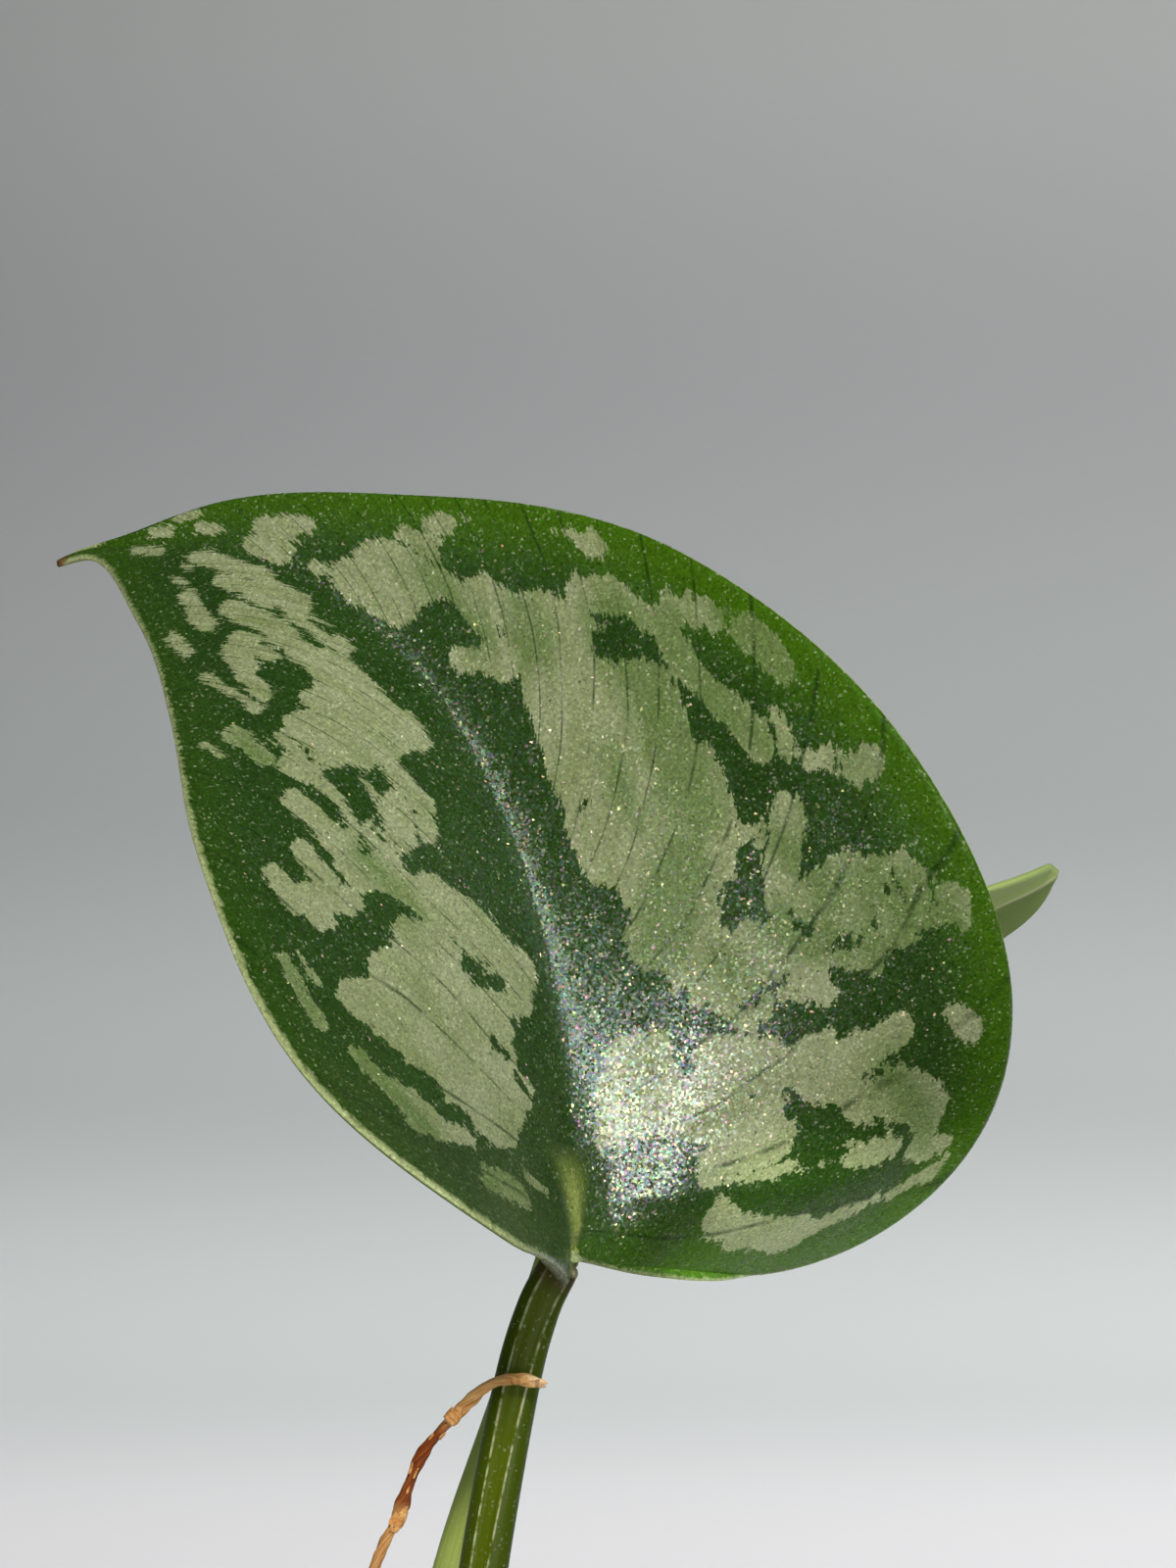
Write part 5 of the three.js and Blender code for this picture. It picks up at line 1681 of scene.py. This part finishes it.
def soilSurface():
    rings, count = soil["rings"], soil["segments"]
    edge = potInside(soil["level"]) - soil["gap"]
    turn = np.arange(count) * math.tau / count
    radius = edge * np.linspace(0, 1, rings + 1)[1:, None] ** 0.9
    x, y = radius * np.cos(turn), radius * np.sin(turn)
    z = soil["level"] + soil["mound"] * (1 - (radius / edge) ** 2)
    z = z + soil["lumps"] * smoothNoise(x, y, "lumps", 16) * 0.8
    z = z + soil["grain"] * smoothNoise(x, y, "grain", 3.2)
    return x, y, z, edge


def makeSoil(material):
    x, y, z, _ = soilSurface()
    rings, count = x.shape
    top = np.stack([x, y, z], -1).reshape(-1, 3)
    low = pot["floor"] + soil["gap"]
    foot = potInside(low) - soil["gap"]
    turn = np.arange(count) * math.tau / count
    base = np.stack([foot * np.cos(turn), foot * np.sin(turn), low + 0 * turn], -1)
    points = np.vstack([top, base, [(0, 0, z[0].mean()), (0, 0, low)]])
    faces = ringQuads(rings, count)
    ring = np.arange(count)
    after = (ring + 1) % count
    cap = np.stack([np.full(count, len(points) - 2), ring, after], -1)
    under = np.stack([np.full(count, len(points) - 1), rings * count + after, rings * count + ring], -1)
    return meshObject("soil_bed", points, [faces, cap, under], [material])


def scatterTree():
    tree = newTree("crumbsOverSurface", {
        "Density": "Float", "Seed": "Int", "Smallest": "Vector", "Largest": "Vector", "Roughness": "Float",
        "Sunk": "Float", "Material": "Material"})
    given = add(tree, "NodeGroupInput")
    rough = given.outputs["Roughness"]
    spots = add(tree, "GeometryNodeDistributePointsOnFaces", {
        "Mesh": given.outputs["Geometry"], "Density": given.outputs["Density"],
        "Seed": given.outputs["Seed"]},
        distribute_method="RANDOM")
    lump = add(tree, "GeometryNodeMeshIcoSphere", {"Radius": 1.0, "Subdivisions": 1})
    spin = add(tree, "FunctionNodeRandomValue", {
        0: (0, 0, 0), 1: (0.9, 0.9, math.tau), "Seed": given.outputs["Seed"]}, data_type="FLOAT_VECTOR")
    size = add(tree, "FunctionNodeRandomValue", {
        0: given.outputs["Smallest"], 1: given.outputs["Largest"], "Seed": 7}, data_type="FLOAT_VECTOR")
    placed = add(tree, "GeometryNodeInstanceOnPoints", {
        "Points": spots.outputs["Points"], "Instance": lump.outputs["Mesh"], "Rotation": spin.outputs[0],
        "Scale": size.outputs[0]})
    solid = add(tree, "GeometryNodeRealizeInstances", {"Geometry": placed})
    gnarl = add(tree, "ShaderNodeTexNoise", {
        "Vector": add(tree, "GeometryNodeInputPosition"), "Scale": 900.0, "Detail": 1})
    shove = vectorMaths(tree, "ADD", gnarl.outputs["Color"], (-0.5, -0.5, -0.5))
    shove = scaled(tree, shove, rough)
    drop = add(tree, "ShaderNodeCombineXYZ", {"Z": given.outputs["Sunk"]})
    shove = vectorMaths(tree, "SUBTRACT", shove, drop)
    solid = add(tree, "GeometryNodeSetPosition", {"Geometry": solid, "Offset": shove})
    solid = add(tree, "GeometryNodeSetMaterial", {"Geometry": solid, "Material": given.outputs["Material"]})
    add(tree, "NodeGroupOutput", {"Geometry": solid})
    return tree


# per square metre; sizes are half extents in mm
mix = {
    "peat_crumbs": {"density": 260000, "seed": 3, "smallest": (0.35, 0.35, 0.3), "largest": (1.1, 1.0, 0.8),
                    "rough": 0.7, "sunk": 0.1, "colours": ("#2a1b12", "#4f3826"), "grain": 0.6},
    "bark_chips": {"density": 38000, "seed": 5, "smallest": (1.0, 0.6, 0.25), "largest": (3.6, 1.7, 0.7),
                   "rough": 0.9, "sunk": 0.0, "colours": ("#4a2f1d", "#8a6140"), "grain": 0.8},
    "perlite": {"density": 22000, "seed": 9, "smallest": (0.5, 0.5, 0.4), "largest": (1.3, 1.2, 1.0),
                "rough": 0.6, "sunk": 0.15, "colours": ("#cfc8bb", "#f0ece3"), "grain": 0.4},
}


def mixMaterial(name, colours, grain, roughness):
    # loose, dry and matte, with dust between the grains
    material = newMaterial(name)
    tree = material.node_tree
    solid = add(tree, "ShaderNodeTexCoord").outputs["Object"]
    coarse = noise(tree, solid, 1 / (4 * mm), 6, 0.7)
    toned = remap(tree, coarse, (0.35, 0.65))
    tone = blend(tree, toned, linear(colours[0]), linear(colours[1]))
    fine = noise(tree, solid, 1 / (grain * mm), 4)
    bump = bumped(tree, fine, 0.8, 0.0004)
    shader = add(tree, "ShaderNodeBsdfPrincipled", {
        "Base Color": tone, "Roughness": roughness, "Specular IOR Level": 0.2, "Normal": bump})
    add(tree, "ShaderNodeOutputMaterial", {"Surface": shader})
    return material


def strewMix(crumbTree):
    # crumbs, chips and perlite lie on the bed, clear of the pot's wall
    x, y, z, edge = soilSurface()
    rings, count = x.shape
    quads = ringQuads(rings - 1, count)
    inner = np.hypot(x, y).reshape(-1) < edge - soil["crumbEdge"]
    quads = quads[inner[quads].all(1)]
    for name, values in mix.items():
        bed = meshObject(name + "Bed", np.stack([x, y, z], -1).reshape(-1, 3), [quads], [])
        made = grown(crumbTree, bed, {
            "Density": float(values["density"]), "Seed": values["seed"],
            "Smallest": [v * mm for v in values["smallest"]], "Largest": [v * mm for v in values["largest"]],
            "Roughness": values["rough"] * mm, "Sunk": values["sunk"] * mm,
            "Material": mixMaterial(name, values["colours"], values["grain"], soil["crumbRoughness"])})
        bpy.data.objects.remove(bed)
        made.name = "soil_" + name
        place(plainObject("soil_" + name, made), "soil")


soilPiece = makeSoil(mixMaterial("dampPeat", soil["colours"], soil["fineGrain"], soil["roughness"]))
strewMix(scatterTree())
place(soilPiece, "soil")
print("potting mix is in place")
